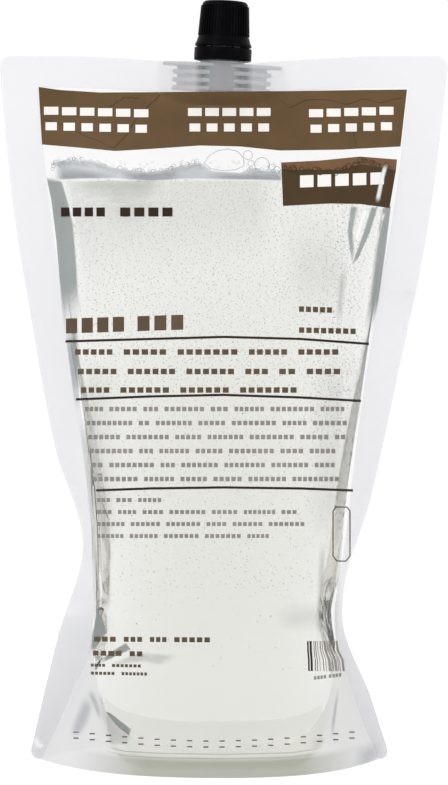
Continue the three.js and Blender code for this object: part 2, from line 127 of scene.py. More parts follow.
def smooth_curve(points, height):
    """Reads a smooth curve through [height, value] points, without overshoot."""
    heights = np.array([p[0] for p in points], float)
    values = np.array([p[1] for p in points], float)
    slopes = np.diff(values) / np.diff(heights)
    tangents = np.empty(len(points))
    tangents[0] = slopes[0]
    tangents[-1] = slopes[-1]
    for k in range(1, len(points) - 1):
        before, after = slopes[k - 1], slopes[k]
        tangents[k] = 0 if before * after <= 0 else 2 * before * after / (before + after)
    at = np.clip(np.asarray(height, float), heights[0], heights[-1])
    i = np.clip(np.searchsorted(heights, at, side="left") - 1, 0, len(points) - 2)
    span = heights[i + 1] - heights[i]
    t = (at - heights[i]) / span
    start = (1 + 2 * t) * (1 - t) ** 2 * values[i] + t * (1 - t) ** 2 * span * tangents[i]
    end = t * t * (3 - 2 * t) * values[i + 1] + t * t * (t - 1) * span * tangents[i + 1]
    return start + end


def by_side(share, left, right, z):
    """Reads one curve left of the middle and the other right of it."""
    return np.where(np.asarray(share) < 0, smooth_curve(left, z), smooth_curve(right, z))


def corner_inset(z):
    """How far the rounded corners draw the edge in."""
    top = np.maximum(z - (FILM_HEIGHT - TOP_CORNER_RADIUS), 0)
    bottom = np.maximum(BOTTOM_CORNER_RADIUS - z, 0)
    top_inset = TOP_CORNER_RADIUS - np.sqrt(np.maximum(TOP_CORNER_RADIUS ** 2 - top ** 2, 0))
    bottom_inset = BOTTOM_CORNER_RADIUS - np.sqrt(np.maximum(BOTTOM_CORNER_RADIUS ** 2 - bottom ** 2, 0))
    return top_inset + bottom_inset


def film_x(share, z):
    """Place across the film for a share of its width, from -1 at the left edge to 1."""
    across = np.abs(share)
    edge = by_side(share, LEFT_EDGE, RIGHT_EDGE, z) - corner_inset(z)
    seam = by_side(share, LEFT_SEAM, RIGHT_SEAM, z)
    inside = seam * across / SEAM
    outside = seam + (edge - seam) * (across - SEAM) / (1 - SEAM)
    return np.sign(share) * np.where(across <= SEAM, inside, outside)


def film_share(x, z):
    """Share of the film's width at a place across it."""
    side = np.where(np.asarray(x) < 0, -1.0, 1.0)
    edge = by_side(side, LEFT_EDGE, RIGHT_EDGE, z) - corner_inset(z)
    seam = by_side(side, LEFT_SEAM, RIGHT_SEAM, z)
    reach = np.abs(x)
    outside = SEAM + (reach - seam) / np.maximum(edge - seam, 0.5) * (1 - SEAM)
    return side * np.clip(np.where(reach <= seam, reach / seam * SEAM, outside), 0, 1)


def seal_turn(share, z):
    """How far the side seals turn back where they look narrow from the front."""
    across = np.clip((np.abs(share) - SEAM) / (1 - SEAM), 0, 1)
    edge = by_side(share, LEFT_EDGE, RIGHT_EDGE, z)
    seam = by_side(share, LEFT_SEAM, RIGHT_SEAM, z)
    shown = np.minimum(edge - seam, SIDE_SEAL_WIDTH)
    turned = np.sqrt(np.maximum(SIDE_SEAL_WIDTH ** 2 - shown ** 2, 0))
    return turned * across * smoothstep(SEAL_TURN_START, SEAL_TURN_FULL, z)


def wall_bulge(share, z):
    """Depth of a wall from the middle plane: the filled body, or the arch over the boat."""
    across = np.minimum(np.abs(share) / SEAM, 1)
    body = smooth_curve(HALF_DEPTHS, z) * (1 - across ** 2) * (1 + SECTION_FULLNESS * across ** 2)
    arch = ARCH_DEPTH * np.maximum(1 - ((film_x(share, z) - SPOUT_OFFSET) / ARCH_HALF_WIDTH) ** 2, 0)
    arch = arch * smoothstep(SEAL_BOTTOM - ARCH_HEIGHT, SEAL_BOTTOM, z)
    easing = ARCH_EASING * smoothstep(0, ARCH_EASING_DEPTH, arch) * smoothstep(0, ARCH_EASING_DEPTH, body)
    return 0.5 * (body + arch + np.sqrt((body - arch) ** 2 + easing ** 2))


def slope_stretch(share, z, face):
    """How much longer a step across a sloping sheet is when it is taken along Y."""
    share, z = np.broadcast_arrays(np.asarray(share, float), np.asarray(z, float))

    def point(s, h):
        return np.stack([film_x(s, h), seal_turn(s, h) + face * wall_bulge(s, h), h], -1)

    along = point(np.minimum(share + 0.01, 1), z) - point(np.maximum(share - 0.01, -1), z)
    up = point(share, np.minimum(z + 1, FILM_HEIGHT)) - point(share, np.maximum(z - 1, 0))
    normal = np.cross(along, up)
    length = np.linalg.norm(normal, axis=-1)
    return np.minimum(length / np.maximum(np.abs(normal[..., 1]), 1e-9), MAX_SHEET_SLOPE)


def seal_room(z):
    """Half the gap between the walls, wider where the base film lies between them."""
    room = SHEET_GAP / 2
    with_base = room + FILM_THICKNESS + SHEET_GAP
    return with_base + (room - with_base) * smoothstep(ROOM_START, ROOM_END, z)


def wall_point(share, z, face, out):
    """A point on a sheet that runs with a wall, out millimetres from its inner face."""
    share, z = np.broadcast_arrays(np.asarray(share, float), np.asarray(z, float))
    depth = wall_bulge(share, z) + (seal_room(z) + out) * slope_stretch(share, z, face)
    x = film_x(share, z)
    y = seal_turn(share, z) + face * depth
    y = y - face * dents(x, z, face) * smoothstep(1.0, DENT_EDGE, np.abs(share) / SEAM)
    return np.stack([x, y, z], -1)


# Dents of the walls where the filled film buckles: a line from one place to another in
# millimetres, its half width and its depth, for the front wall and for the back wall
FRONT_DENTS = [
    [(-47, 61), (-40, 44), 4.0, 2.6],
    [(-43, 43), (-19, 40), 3.5, 2.2],
    [(-40, 18), (-34, 8), 4.0, 1.8],
    [(20, 53), (44, 51), 5.0, 1.6],
    [(48, 208), (45, 158), 3.0, 1.1],
    [(58, 206), (47, 160), 3.0, 1.3],
    [(36, 74), (37, 52), 2.2, 0.9],
    [(-57, 200), (-52, 160), 4.0, 0.8],
]
BACK_DENTS = [
    [(38, 66), (45, 42), 4.5, 2.4],
    [(-44, 58), (-22, 47), 4.0, 2.0],
    [(-55, 204), (-46, 165), 3.5, 1.2],
    [(54, 200), (47, 150), 3.5, 1.0],
    [(-20, 30), (14, 24), 6.0, 1.0],
]

# Share of a dent's depth left at its ends, share of the width where dents fade before the
# seam, and a slow ripple over the rest of the walls
DENT_END_SHARE = 0.35
DENT_EDGE = 0.96
RIPPLE_DEPTH = 0.35


def dents(x, z, face):
    """How far a wall is pushed in, in millimetres."""
    total = np.zeros(np.broadcast(x, z).shape)
    for start, end, half_width, depth in (FRONT_DENTS if face < 0 else BACK_DENTS):
        run = np.array(end, float) - np.array(start, float)
        t = np.clip(((x - start[0]) * run[0] + (z - start[1]) * run[1]) / (run @ run), 0, 1)
        away = np.hypot(x - start[0] - t * run[0], z - start[1] - t * run[1])
        lengthwise = DENT_END_SHARE + (1 - DENT_END_SHARE) * np.sin(math.pi * np.clip(t, 0.08, 0.92))
        total = total + depth * lengthwise * np.exp(-((away / half_width) ** 2))
    ripple = RIPPLE_DEPTH * np.sin(x / 9.0 + z / 31.0) * np.sin(z / 17.0 + 1.3 * face)
    return total + ripple * smoothstep(4, 30, z) * smoothstep(250, 225, z)


def dipped(share, z):
    """Heights that follow the top edge, which dips towards the spout."""
    dip = TOP_DIP * (1 - smoothstep(0, TOP_DIP_REACH, np.abs(share)))
    return z - dip * smoothstep(TOP_DIP_START, FILM_HEIGHT, z)


def base_seal(share):
    """Height of the line where the base film leaves the walls."""
    across = np.minimum(np.abs(share) / SEAM, 1)
    return BASE_SEAL_HEIGHT + (FOLD_HEIGHT - BASE_SEAL_HEIGHT) * across ** BASE_SEAL_STEEPNESS


def base_valley(share):
    """Height of the middle of the base film."""
    across = np.minimum(np.abs(share) / SEAM, 1)
    climb = np.maximum((across - BASE_FLAT_SHARE) / (1 - BASE_FLAT_SHARE), 0)
    return FOLD_HEIGHT * climb ** FOLD_STEEPNESS


def base_point(share, t, out, above):
    """A point across the folded base, for t from -1 at the front seal to 1 at the back."""
    share, t = np.broadcast_arrays(np.asarray(share, float), np.asarray(t, float))
    seal = base_seal(share)
    valley = base_valley(share)
    middle = seal_turn(share, seal)
    depth = wall_bulge(share, seal) + (seal_room(seal) + out) * slope_stretch(share, seal, 1)
    rise = np.maximum((np.abs(t) - FLAT_DEPTH_SHARE) / (1 - FLAT_DEPTH_SHARE), 0)
    slope = 2 * rise * (seal - valley) / (1 - FLAT_DEPTH_SHARE) / np.maximum(depth, 1)
    height = valley + (seal - valley) * rise ** 2 + above * np.sqrt(1 + slope ** 2)
    return np.stack([film_x(share, seal), middle + t * depth, height], -1)


# Places of the photograph on the front wall
aim = Vector(CAMERA_AIM) - Vector(CAMERA_PLACE)
camera_turn = aim.to_track_quat("-Z", "Y")
camera_axes = np.array(camera_turn.to_matrix())
focal_pixels = LENS / SENSOR * PHOTO_HEIGHT
SIGHT_ROUNDS = 12
FIRST_DEPTH = -15.0
EDGE_MARGIN = 0.3


def seen_on_front(px, py):
    """Place across and height on the front wall that a pixel of the photograph shows."""
    ray = np.stack([px - PHOTO_WIDTH / 2, PHOTO_HEIGHT / 2 - py, np.full(px.shape, -focal_pixels)], -1)
    ray = ray @ camera_axes.T
    y = np.full(px.shape, FIRST_DEPTH)
    for _ in range(SIGHT_ROUNDS):
        t = (y - CAMERA_PLACE[1]) / ray[..., 1]
        x = CAMERA_PLACE[0] + t * ray[..., 0]
        z = np.clip(CAMERA_PLACE[2] + t * ray[..., 2], EDGE_MARGIN, FILM_HEIGHT - EDGE_MARGIN)
        y = 0.5 * y + 0.5 * wall_point(film_share(x, z), z, -1, FILM_THICKNESS)[..., 1]
    return x, z


# The same for a grid of pixels, so that the print is placed by reading between its points
GRID_STEP = 2.0
GRID_TOP = 60.0
grid_across, grid_down = np.meshgrid(
    np.arange(0, PHOTO_WIDTH + GRID_STEP, GRID_STEP),
    np.arange(GRID_TOP, PHOTO_HEIGHT + GRID_STEP, GRID_STEP))
grid_x, grid_z = seen_on_front(grid_across, grid_down)


def on_front(px, py):
    """Reads the place across and the height for pixels between the points of the grid."""
    row = np.clip((np.asarray(py, float) - GRID_TOP) / GRID_STEP, 0, grid_x.shape[0] - 1.001)
    column = np.clip(np.asarray(px, float) / GRID_STEP, 0, grid_x.shape[1] - 1.001)
    i, j = row.astype(int), column.astype(int)
    u, v = row - i, column - j

    def read(values):
        upper = (1 - v) * values[i, j] + v * values[i, j + 1]
        lower = (1 - v) * values[i + 1, j] + v * values[i + 1, j + 1]
        return (1 - u) * upper + u * lower

    return read(grid_x), read(grid_z)


# Meshes

def piece_from(name, points, faces, material, body="pack", smooth=True):
    """Makes a piece from points in millimetres."""
    mesh = bpy.data.meshes.new(name)
    mesh.from_pydata((np.asarray(points, float) * 0.001).tolist(), [], [tuple(f) for f in faces])
    mesh.materials.append(material)
    mesh.update()
    piece = bpy.data.objects.new(name, mesh)
    bpy.context.scene.collection.objects.link(piece)
    if smooth:
        mesh.shade_smooth()
    if body:
        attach(piece, body)
    return piece


def grid_faces(rows, columns, start=0, flip=False):
    """Faces of a grid of points that are kept row by row."""
    index = np.arange(rows * columns).reshape(rows, columns) + start
    a, b, c, d = index[:-1, :-1], index[:-1, 1:], index[1:, 1:], index[1:, :-1]
    order = (a, d, c, b) if flip else (a, b, c, d)
    return np.stack([part.ravel() for part in order], -1).tolist()


def sheet_piece(name, grids, material, flip=False):
    """Joins grids of points (rows, columns, 3) into one sheet."""
    points, faces = [], []
    for grid in grids:
        faces += grid_faces(grid.shape[0], grid.shape[1], len(points), flip)
        points += grid.reshape(-1, 3).tolist()
    return piece_from(name, points, faces, material)


def loop_piece(name, loops, material):
    """Joins closed loops of points into one closed body, each end closed on itself."""
    loops = np.asarray(loops)
    rows, count = loops.shape[:2]
    faces = []
    for i in range(rows - 1):
        for j in range(count):
            k = (j + 1) % count
            faces.append((i * count + j, i * count + k, (i + 1) * count + k, (i + 1) * count + j))
    for base in (0, (rows - 1) * count):
        ring = [base + j for j in range(count)]
        faces.append(tuple(ring if base else reversed(ring)))
    points = loops.reshape(-1, 3)
    volume = 0.0
    for face in faces[:-2]:
        a, b, c, d = points[list(face)]
        volume += a @ np.cross(b, c) + a @ np.cross(c, d)
    if volume < 0:
        faces = [tuple(reversed(face)) for face in faces]
    return piece_from(name, points, faces, material)


# Materials

# Patterns read places in metres: this over a size in millimetres gives blobs of that size
PATTERN_SCALE = 500.0


def from_hex(code):
    """Turns an sRGB hex colour into a linear one."""
    parts = [int(code[i:i + 2], 16) / 255 for i in (1, 3, 5)]
    linear = [p / 12.92 if p <= 0.04045 else ((p + 0.055) / 1.055) ** 2.4 for p in parts]
    return (*linear, 1.0)


def add(tree, kind, inputs=None, stops=(), **settings):
    """Adds a node with its settings, its values and links, and the stops of its ramp."""
    node = tree.nodes.new(kind)
    for key, value in settings.items():
        setattr(node, key, value)
    for key, value in (inputs or {}).items():
        if isinstance(value, bpy.types.NodeSocket):
            tree.links.new(value, node.inputs[key])
        else:
            node.inputs[key].default_value = value
    for number, (position, colour) in enumerate(stops):
        node.color_ramp.elements[number].position = position
        node.color_ramp.elements[number].color = from_hex(colour)
    return node


def surface(name, **inputs):
    """A material with one principled shader; returns it with its tree and shader."""
    material = bpy.data.materials.new(name)
    material.use_nodes = True
    tree = material.node_tree
    tree.nodes.clear()
    shader = add(tree, "ShaderNodeBsdfPrincipled", {k.replace("_", " "): v for k, v in inputs.items()})
    add(tree, "ShaderNodeOutputMaterial", {"Surface": shader.outputs["BSDF"]})
    return material, tree, shader


def blobs(tree, size_mm, detail=3.0, stretch=(1, 1, 1)):
    """Soft blobs about size_mm across, which keep their place on the object."""
    place = add(tree, "ShaderNodeTexCoord")
    mapped = add(tree, "ShaderNodeMapping", {"Vector": place.outputs["Object"], "Scale": stretch})
    pattern = add(tree, "ShaderNodeTexNoise", {
        "Vector": mapped.outputs["Vector"], "Scale": PATTERN_SCALE / size_mm, "Detail": detail,
        "Roughness": 0.55})
    return pattern.outputs["Fac"]


def mottled(tree, low, high, size_mm, detail=3.0, stretch=(1, 1, 1)):
    """A colour that drifts between two tones in blobs about size_mm across."""
    tones = add(tree, "ShaderNodeValToRGB", {
        "Fac": blobs(tree, size_mm, detail, stretch)}, ((0.3, low), (0.7, high)))
    return tones.outputs["Color"]


def bumped(tree, shader, height_mm, size_mm, detail=3.0, stretch=(1, 1, 1)):
    """Makes a surface uneven by height_mm in blobs about size_mm across."""
    relief = add(tree, "ShaderNodeBump", {
        "Height": blobs(tree, size_mm, detail, stretch), "Distance": height_mm * 0.001, "Strength": 1.0})
    tree.links.new(relief.outputs["Normal"], shader.inputs["Normal"])


def place_parts(tree):
    """The three parts of a place on the object, and how far it is from the middle."""
    place = add(tree, "ShaderNodeTexCoord")
    split = add(tree, "ShaderNodeSeparateXYZ", {"Vector": place.outputs["Object"]})
    off_middle = add(tree, "ShaderNodeMath", {0: split.outputs["X"]}, operation="ABSOLUTE")
    return split.outputs, off_middle.outputs[0]


# Clear blown film of polyamide and polyethylene: almost invisible, with soft streaky glints
clear_film, tree, shader = surface("clear_blown_film", Roughness=0.12, IOR=1.5, Alpha=0.13)
tree.links.new(mottled(tree, "#eceeed", "#fafbfa", 45, 2), shader.inputs["Base Color"])
bumped(tree, shader, 0.5, 9, 3, (1, 1, 0.35))

# The same film welded between hot bars: milky and half matt, with a faint cloudiness that
# turns greyer towards the foot
sealed_film, tree, shader = surface("heat_sealed_film", Roughness=0.34, IOR=1.5)
place, off_middle = place_parts(tree)
low_down = add(tree, "ShaderNodeMapRange", {"Value": place["Z"], "From Min": 0.075, "From Max": 0.012})
tone = add(tree, "ShaderNodeMix", {
    "Factor": low_down.outputs["Result"], "A": mottled(tree, "#e6e6eb", "#f0f0f4", 60, 2),
    "B": from_hex("#cfcfd4")}, data_type="RGBA")
tree.links.new(tone.outputs["Result"], shader.inputs["Base Color"])
# Over the barrel of the spout the film is fused to the plastic and turns nearly clear
fused = add(tree, "ShaderNodeMapRange", {
    "Value": off_middle, "From Min": 0.0085, "From Max": 0.011, "To Min": 0.14, "To Max": 0.44})
tree.links.new(fused.outputs["Result"], shader.inputs["Alpha"])
bumped(tree, shader, 0.35, 14, 3, (1, 1, 0.5))

# The welded skirt of the base: the same milky film, darker and greener before the liquid, with painted shade
# that deepens low down
skirt_film, tree, shader = surface("sealed_skirt_film", Roughness=0.36, IOR=1.5)
place, off_middle = place_parts(tree)
rising = add(tree, "ShaderNodeMapRange", {"Value": place["Z"], "From Min": 0.0, "From Max": 0.01})
# Painted shade: darker green-grey low down, paler higher up
painted_skirt_shade = add(tree, "ShaderNodeValToRGB", {
    "Fac": rising.outputs["Result"]}, ((0.58, "#a5a798"), (0.82, "#e0e0d8")))
outwards = add(tree, "ShaderNodeMapRange", {"Value": off_middle, "From Min": 0.03, "From Max": 0.058})
tone = add(tree, "ShaderNodeMix", {
    "Factor": outwards.outputs["Result"], "A": painted_skirt_shade.outputs["Color"],
    "B": from_hex("#cbcbcf")}, data_type="RGBA")
tree.links.new(tone.outputs["Result"], shader.inputs["Base Color"])
thinner = add(tree, "ShaderNodeMapRange", {
    "Value": outwards.outputs["Result"], "To Min": 0.85, "To Max": 0.5})
tree.links.new(thinner.outputs["Result"], shader.inputs["Alpha"])
bumped(tree, shader, 0.3, 12)

# The back skirt: welded too, but thin and pale, so that the soap before it stays clear
pale_skirt_film, tree, shader = surface(
    "thin_sealed_film", Base_Color=from_hex("#f3f3f1"), Roughness=0.36, IOR=1.5, Alpha=0.2)
bumped(tree, shader, 0.3, 12)

# Clear liquid soap: it bends the light a little and takes a faint green-grey depth from it
liquid_soap, tree, shader = surface(
    "clear_liquid_soap", Base_Color=from_hex("#fbfcfa"), Roughness=0.04, IOR=1.14, Transmission_Weight=1.0)
absorption = add(tree, "ShaderNodeVolumeAbsorption", {"Color": (0.48, 0.45, 0.36, 1), "Density": 5.8})
output = next(node for node in tree.nodes if node.type == "OUTPUT_MATERIAL")
tree.links.new(absorption.outputs["Volume"], output.inputs["Volume"])

# Air caught in the soap: tiny bubbles, coloured as grey specks of painted shade and white specks of painted
# highlight
painted_shade_speck = surface("suspended_bubble_shaded", Base_Color=from_hex("#80857f"), Roughness=0.4, Alpha=0.33)[0]
painted_highlight_speck = surface("suspended_bubble_lit", Base_Color=from_hex("#fbfbf8"), Roughness=0.3, Alpha=0.7)[0]

# Foam: thin clear bubble walls, and rims where they meet the film coloured grey as painted shade
bubble_wall = surface("bubble_wall", Base_Color=from_hex("#f3f5f7"), Roughness=0.08, Alpha=0.05)[0]
bubble_rim_shade = surface("bubble_rim_shade", Base_Color=from_hex("#868e94"), Roughness=0.25, Alpha=0.75)[0]


def fading(name, low, high, size_mm, stretch, alpha):
    """A soft-edged colour for patches of painted shade and painted highlight on the liquid and the film,
    which thins out where its mesh says so.
    """
    material, tree, shader = surface(name, Roughness=0.3)
    tree.links.new(mottled(tree, low, high, size_mm, 3, stretch), shader.inputs["Base Color"])
    fade = add(tree, "ShaderNodeAttribute", attribute_name="fade")
    thin = add(tree, "ShaderNodeMath", {0: fade.outputs["Fac"], 1: alpha}, operation="MULTIPLY")
    tree.links.new(thin.outputs[0], shader.inputs["Alpha"])
    return material


# Painted shade of the wet foam before the back of the pack: cool grey, and darker grey in the gloom patches
foam_shade = fading("foam_shade", "#a4a9b0", "#bcc1c7", 9, (1, 1, 1), 0.8)
foam_gloom = fading("foam_gloom", "#80858a", "#92979b", 5, (1, 1, 1), 0.7)

# Painted shade: buckled seals turn away from the light, and the soap gets soft grey patches
seal_shade = fading("seal_shade", "#8f929b", "#a8abb2", 10, (1, 1, 0.5), 0.42)
painted_soap_shade = fading("painted_soap_shade", "#9fa19c", "#b4b6b0", 18, (1, 1, 0.7), 0.3)

# Where the film folds into the soap, the liquid turns the light away and looks green-grey
fold_shade = fading("fold_shade", "#626d6a", "#879290", 16, (1, 1, 0.4), 0.92)
soft_shade = fading("soft_fold_shade", "#8f948d", "#a9ada5", 14, (1, 1, 0.5), 0.5)
fold_light = fading("fold_glint", "#fbfbfa", "#ffffff", 14, (1, 1, 0.5), 0.85)


def ink(name, low, high):
    """Printing ink on film: even colour with a faint mottle of the print, half matt."""
    material, tree, shader = surface(name, Roughness=0.55, Specular_IOR_Level=0.12)
    tree.links.new(mottled(tree, low, high, 11), shader.inputs["Base Color"])
    return material


brown_ink = ink("brown_ink", "#5d4830", "#6b543a")
label_ink = ink("dark_brown_ink", "#423320", "#4f3d27")
label_top_ink = ink("mid_brown_ink", "#6e5138", "#7c5d42")
rule_ink = ink("rule_ink", "#20160d", "#33261a")
text_ink = ink("text_ink", "#544636", "#655543")
grey_ink = ink("grey_ink", "#85807a", "#98938d")
white_ink = ink("white_ink", "#eeeae4", "#fbf9f5")


def natural_plastic(name, low, high, glow):
    """Natural polyethylene, injection moulded: milky and waxy, light passes a little way in."""
    material, tree, shader = surface(
        name, Roughness=0.36, IOR=1.5, Subsurface_Weight=glow, Subsurface_Scale=0.003)
    tree.links.new(mottled(tree, low, high, 8), shader.inputs["Base Color"])
    bumped(tree, shader, 0.02, 0.8, 2)
    return material


spout_plastic = natural_plastic("natural_polyethylene", "#969b9c", "#abb0b1", 0.5)
# A darker copy of the same plastic where it is thickest: painted shade for the light that comes through it
# less
shaded_barrel_plastic = natural_plastic("natural_polyethylene_thick", "#7b7e7e", "#8d9090", 0.4)

# Black polyethylene, injection moulded: deep black, half glossy, finely eroded by the mould
cap_plastic, tree, shader = surface("black_polyethylene", IOR=1.5, Specular_IOR_Level=0.03)
tree.links.new(mottled(tree, "#020203", "#07070a", 4), shader.inputs["Base Color"])
rough = add(tree, "ShaderNodeMapRange", {"Value": blobs(tree, 2.5), "To Min": 0.26, "To Max": 0.42})
tree.links.new(rough.outputs["Result"], shader.inputs["Roughness"])
bumped(tree, shader, 0.015, 0.5, 2)

# White foamed polyethylene, die cut: matt, with the pits of its cells
liner_foam, tree, shader = surface("foamed_polyethylene", Roughness=0.85)
tree.links.new(mottled(tree, "#dededa", "#f4f4f0", 0.6, 2), shader.inputs["Base Color"])
bumped(tree, shader, 0.06, 0.5, 2)


# Wall films
def body_shares(count):
    """Shares of the width from seam to seam, closer together near the seams."""
    t = spread(-1, 1, count)
    return SEAM * (0.75 * t + 0.25 * np.sin(math.pi / 2 * t))


def wall_sheets(face, side, columns, rows):
    """Makes one wall: the clear body, the welded seals round it and the skirt below."""
    shares = body_shares(columns)
    t = spread(0, 1, rows)[:, None]
    low = base_seal(shares)[None, :]
    heights = dipped(shares[None, :], low + (SEAL_BOTTOM - low) * t)
    body = wall_point(shares[None, :] + 0 * t, heights, face, FILM_THICKNESS)
    clear = sheet_piece(side + "_wall_clear", [body], clear_film, face > 0)

    top = dipped(shares[None, :], SEAL_BOTTOM + TOP_SEAL_HEIGHT * spread(0, 1, 14)[:, None])
    strips = [wall_point(shares[None, :], top, face, FILM_THICKNESS)]
    corner = np.radians(spread(0, 90, 7))
    edge_heights = np.concatenate([
        BOTTOM_CORNER_RADIUS * (1 - np.cos(corner)),
        spread(BOTTOM_CORNER_RADIUS, FILM_HEIGHT - TOP_CORNER_RADIUS, rows)[1:-1],
        FILM_HEIGHT - TOP_CORNER_RADIUS * (1 - np.sin(corner))])
    for start, end in ((-1, -SEAM), (SEAM, 1)):
        shares_out = spread(start, end, 9)[None, :]
        strips.append(wall_point(shares_out, edge_heights[:, None], face, FILM_THICKNESS))
    sealed = sheet_piece(side + "_wall_seal", strips, sealed_film, face > 0)

    skirt_heights = spread(0, 1, 12)[:, None] * low
    skirt = sheet_piece(
        side + "_wall_skirt", [wall_point(shares[None, :], skirt_heights, face, FILM_THICKNESS)],
        skirt_film if face < 0 else pale_skirt_film, face > 0)
    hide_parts(side + "_film")


wall_sheets(-1, "front", 150, 230)
wall_sheets(1, "back", 110, 160)

# Base film, folded up between the walls
LIFT = 0.02
shares = body_shares(90)[None, :]
base_rows = spread(-1, 1, 61)[:, None]
base_sheet = sheet_piece(
    "base_gusset", [base_point(shares, base_rows, -SHEET_GAP - FILM_THICKNESS, LIFT)], clear_film, True)
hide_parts("base_film")

# Liquid soap, inside the walls up to its fill line
SOAP_ROWS = 120
TRIMMED_TOP = 2.0
loops = []
for share in SOAP_WIDTH_SHARE * body_shares(100):
    floor = float(base_point(share, 1.0, -SHEET_GAP, SOAP_FLOOR_GAP)[2])
    heights = dipped(share, floor + (FILL_HEIGHT + TRIMMED_TOP - floor) * spread(0, 1, SOAP_ROWS))
    heights = np.minimum(heights, FILL_HEIGHT)
    heights[-1] = FILL_HEIGHT
    front = wall_point(np.full(SOAP_ROWS, share), heights, -1, -SHEET_GAP)
    back = wall_point(np.full(SOAP_ROWS, share), heights, 1, -SHEET_GAP)
    level = front[-1] + (back[-1] - front[-1]) * spread(0, 1, 8)[1:-1, None]
    under = base_point(share, spread(1, -1, 41)[1:-1], -SHEET_GAP, SOAP_FLOOR_GAP)
    loops.append(np.concatenate([front, level, back[::-1], under]))
soap = loop_piece("liquid_soap", loops, liquid_soap)
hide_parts("soap")


# Print and shading on the front wall, placed where the photograph shows them
def along(points, count):
    """Points at even steps along a line."""
    points = np.asarray(points, float)
    steps = np.concatenate([[0], np.cumsum(np.hypot(*np.diff(points, axis=0).T))])
    at = spread(0, steps[-1], count)
    return np.stack([np.interp(at, steps, points[:, 0]), np.interp(at, steps, points[:, 1])], -1)


# Steps of the meshes of patches, bars and shades, in pixels
PATCH_STEP = 1.6
BAR_STEP = 2.0
SHADE_STEP = 0.9


def ribbon(first, second, out, step=PATCH_STEP):
    """A patch of the front wall between two lines of the photograph's pixels."""
    first, second = np.asarray(first, float), np.asarray(second, float)
    length = max(np.hypot(*np.diff(line, axis=0).T).sum() for line in (first, second))
    count = int(max(2, math.ceil(length / step) + 1))
    one, two = along(first, count), along(second, count)
    width = np.hypot(*(one - two).T).max()
    rows = int(max(2, math.ceil(width / step) + 1))
    t = spread(0, 1, rows)[:, None, None]
    pixels = one[None] * (1 - t) + two[None] * t
    x, z = on_front(pixels[..., 0], pixels[..., 1])
    return wall_point(film_share(x, z), z, -1, FILM_THICKNESS + out)


def bar(x0, y0, x1, y1, height, out):
    """A bar from one pixel to another, of a height in pixels."""
    half = height / 2
    return ribbon([(x0, y0 - half), (x1, y1 - half)], [(x0, y0 + half), (x1, y1 + half)], out, BAR_STEP)


def printed(name, patches, material):
    """Makes one piece of the patches of one ink."""
    piece = sheet_piece(name, patches, material, True)
    return piece


# How far the ink stands off the inner face of the film, past its thickness, in millimetres
INK = 0.10
UNDER_PRINT = 0.14
OVERPRINT = 0.17
GLINT = 0.22

TITLE_TOP = [
    (38.6, 87), (60, 90), (100, 92.5), (170, 92), (240, 91.5), (300, 91), (360, 90), (407, 89.5)]
TITLE_BOTTOM = [
    (42, 144.5), (80, 147.7), (115, 151), (150, 149), (200, 145.5), (240, 146.5), (280, 150.5),
    (340, 149.7), (400.5, 146.5)]
printed("title_band", [ribbon(TITLE_TOP, TITLE_BOTTOM, INK)], brown_ink)

LABEL_TOP = [(281, 162.5), (320, 160.5), (360, 156.5), (397, 159.5)]
LABEL_MIDDLE = [(281.5, 169), (300, 170), (340, 170), (362, 164), (396, 170)]
LABEL_BOTTOM = [(283, 206), (330, 203.5), (360, 204), (389.5, 208)]
printed("volume_label", [ribbon(LABEL_MIDDLE, LABEL_BOTTOM, INK)], label_ink)
printed("volume_label_top", [ribbon(LABEL_TOP, LABEL_MIDDLE, INK)], label_top_ink)

# Plain blocks in two rows on the band: left, right, rise and count of each group
TITLE_BLOCKS = [(44, 152, 1.5, 6), (188, 274, 0, 5), (309, 397, -1.5, 5)]
UPPER_ROW = 112
LOWER_ROW = 127.5
BLOCK_HEIGHT = 8
BLOCK_SHARE = 0.8
white_patches = []
for left, right, rise, marks in TITLE_BLOCKS:
    for k in range(marks):
        xa = left + (right - left) * k / marks
        xb = left + (right - left) * (k + BLOCK_SHARE) / marks
        tilt = rise * (2 * (k + 0.5) / marks - 1)
        white_patches.append(bar(xa, UPPER_ROW + tilt, xb, UPPER_ROW + tilt, BLOCK_HEIGHT, OVERPRINT))
        white_patches.append(
            bar(xa + 1.5, LOWER_ROW + tilt, xb - 1.5, LOWER_ROW + tilt, BLOCK_HEIGHT, OVERPRINT))
# Larger blocks on the label, which climb a little to the right
LABEL_BLOCKS = 5
LABEL_BLOCK_LEFT = 300
LABEL_BLOCK_PITCH = 17.6
LABEL_BLOCK_WIDTH = 13.5
LABEL_BLOCK_HEIGHT = 12
LABEL_BLOCK_CLIMB = 0.7
for k in range(LABEL_BLOCKS):
    xa = LABEL_BLOCK_LEFT + LABEL_BLOCK_PITCH * k
    y = 181.5 - LABEL_BLOCK_CLIMB * k
    white_patches.append(bar(xa, y, xa + LABEL_BLOCK_WIDTH, y - 0.5, LABEL_BLOCK_HEIGHT, OVERPRINT))
printed("pale_print", white_patches, white_ink)

# Thin rules across the wall
RULE_THICKNESS = 2.4
RULES = [
    [(65.5, 340.2), (100, 339.2), (224, 335.7), (300, 337.7), (369, 342.7)],
    [(76, 398.2), (150, 395.2), (224, 393.7), (300, 396.2), (361, 399.7)],
    [(96, 489.2), (150, 487.2), (224, 486.2), (300, 487.2), (353, 489.2)],
]
rule_patches = [ribbon(line, [(px, py + RULE_THICKNESS) for px, py in line], INK) for line in RULES]
printed("rules", rule_patches, rule_ink)


# Share of its place that a dash fills
DASH_SHARE = 0.72


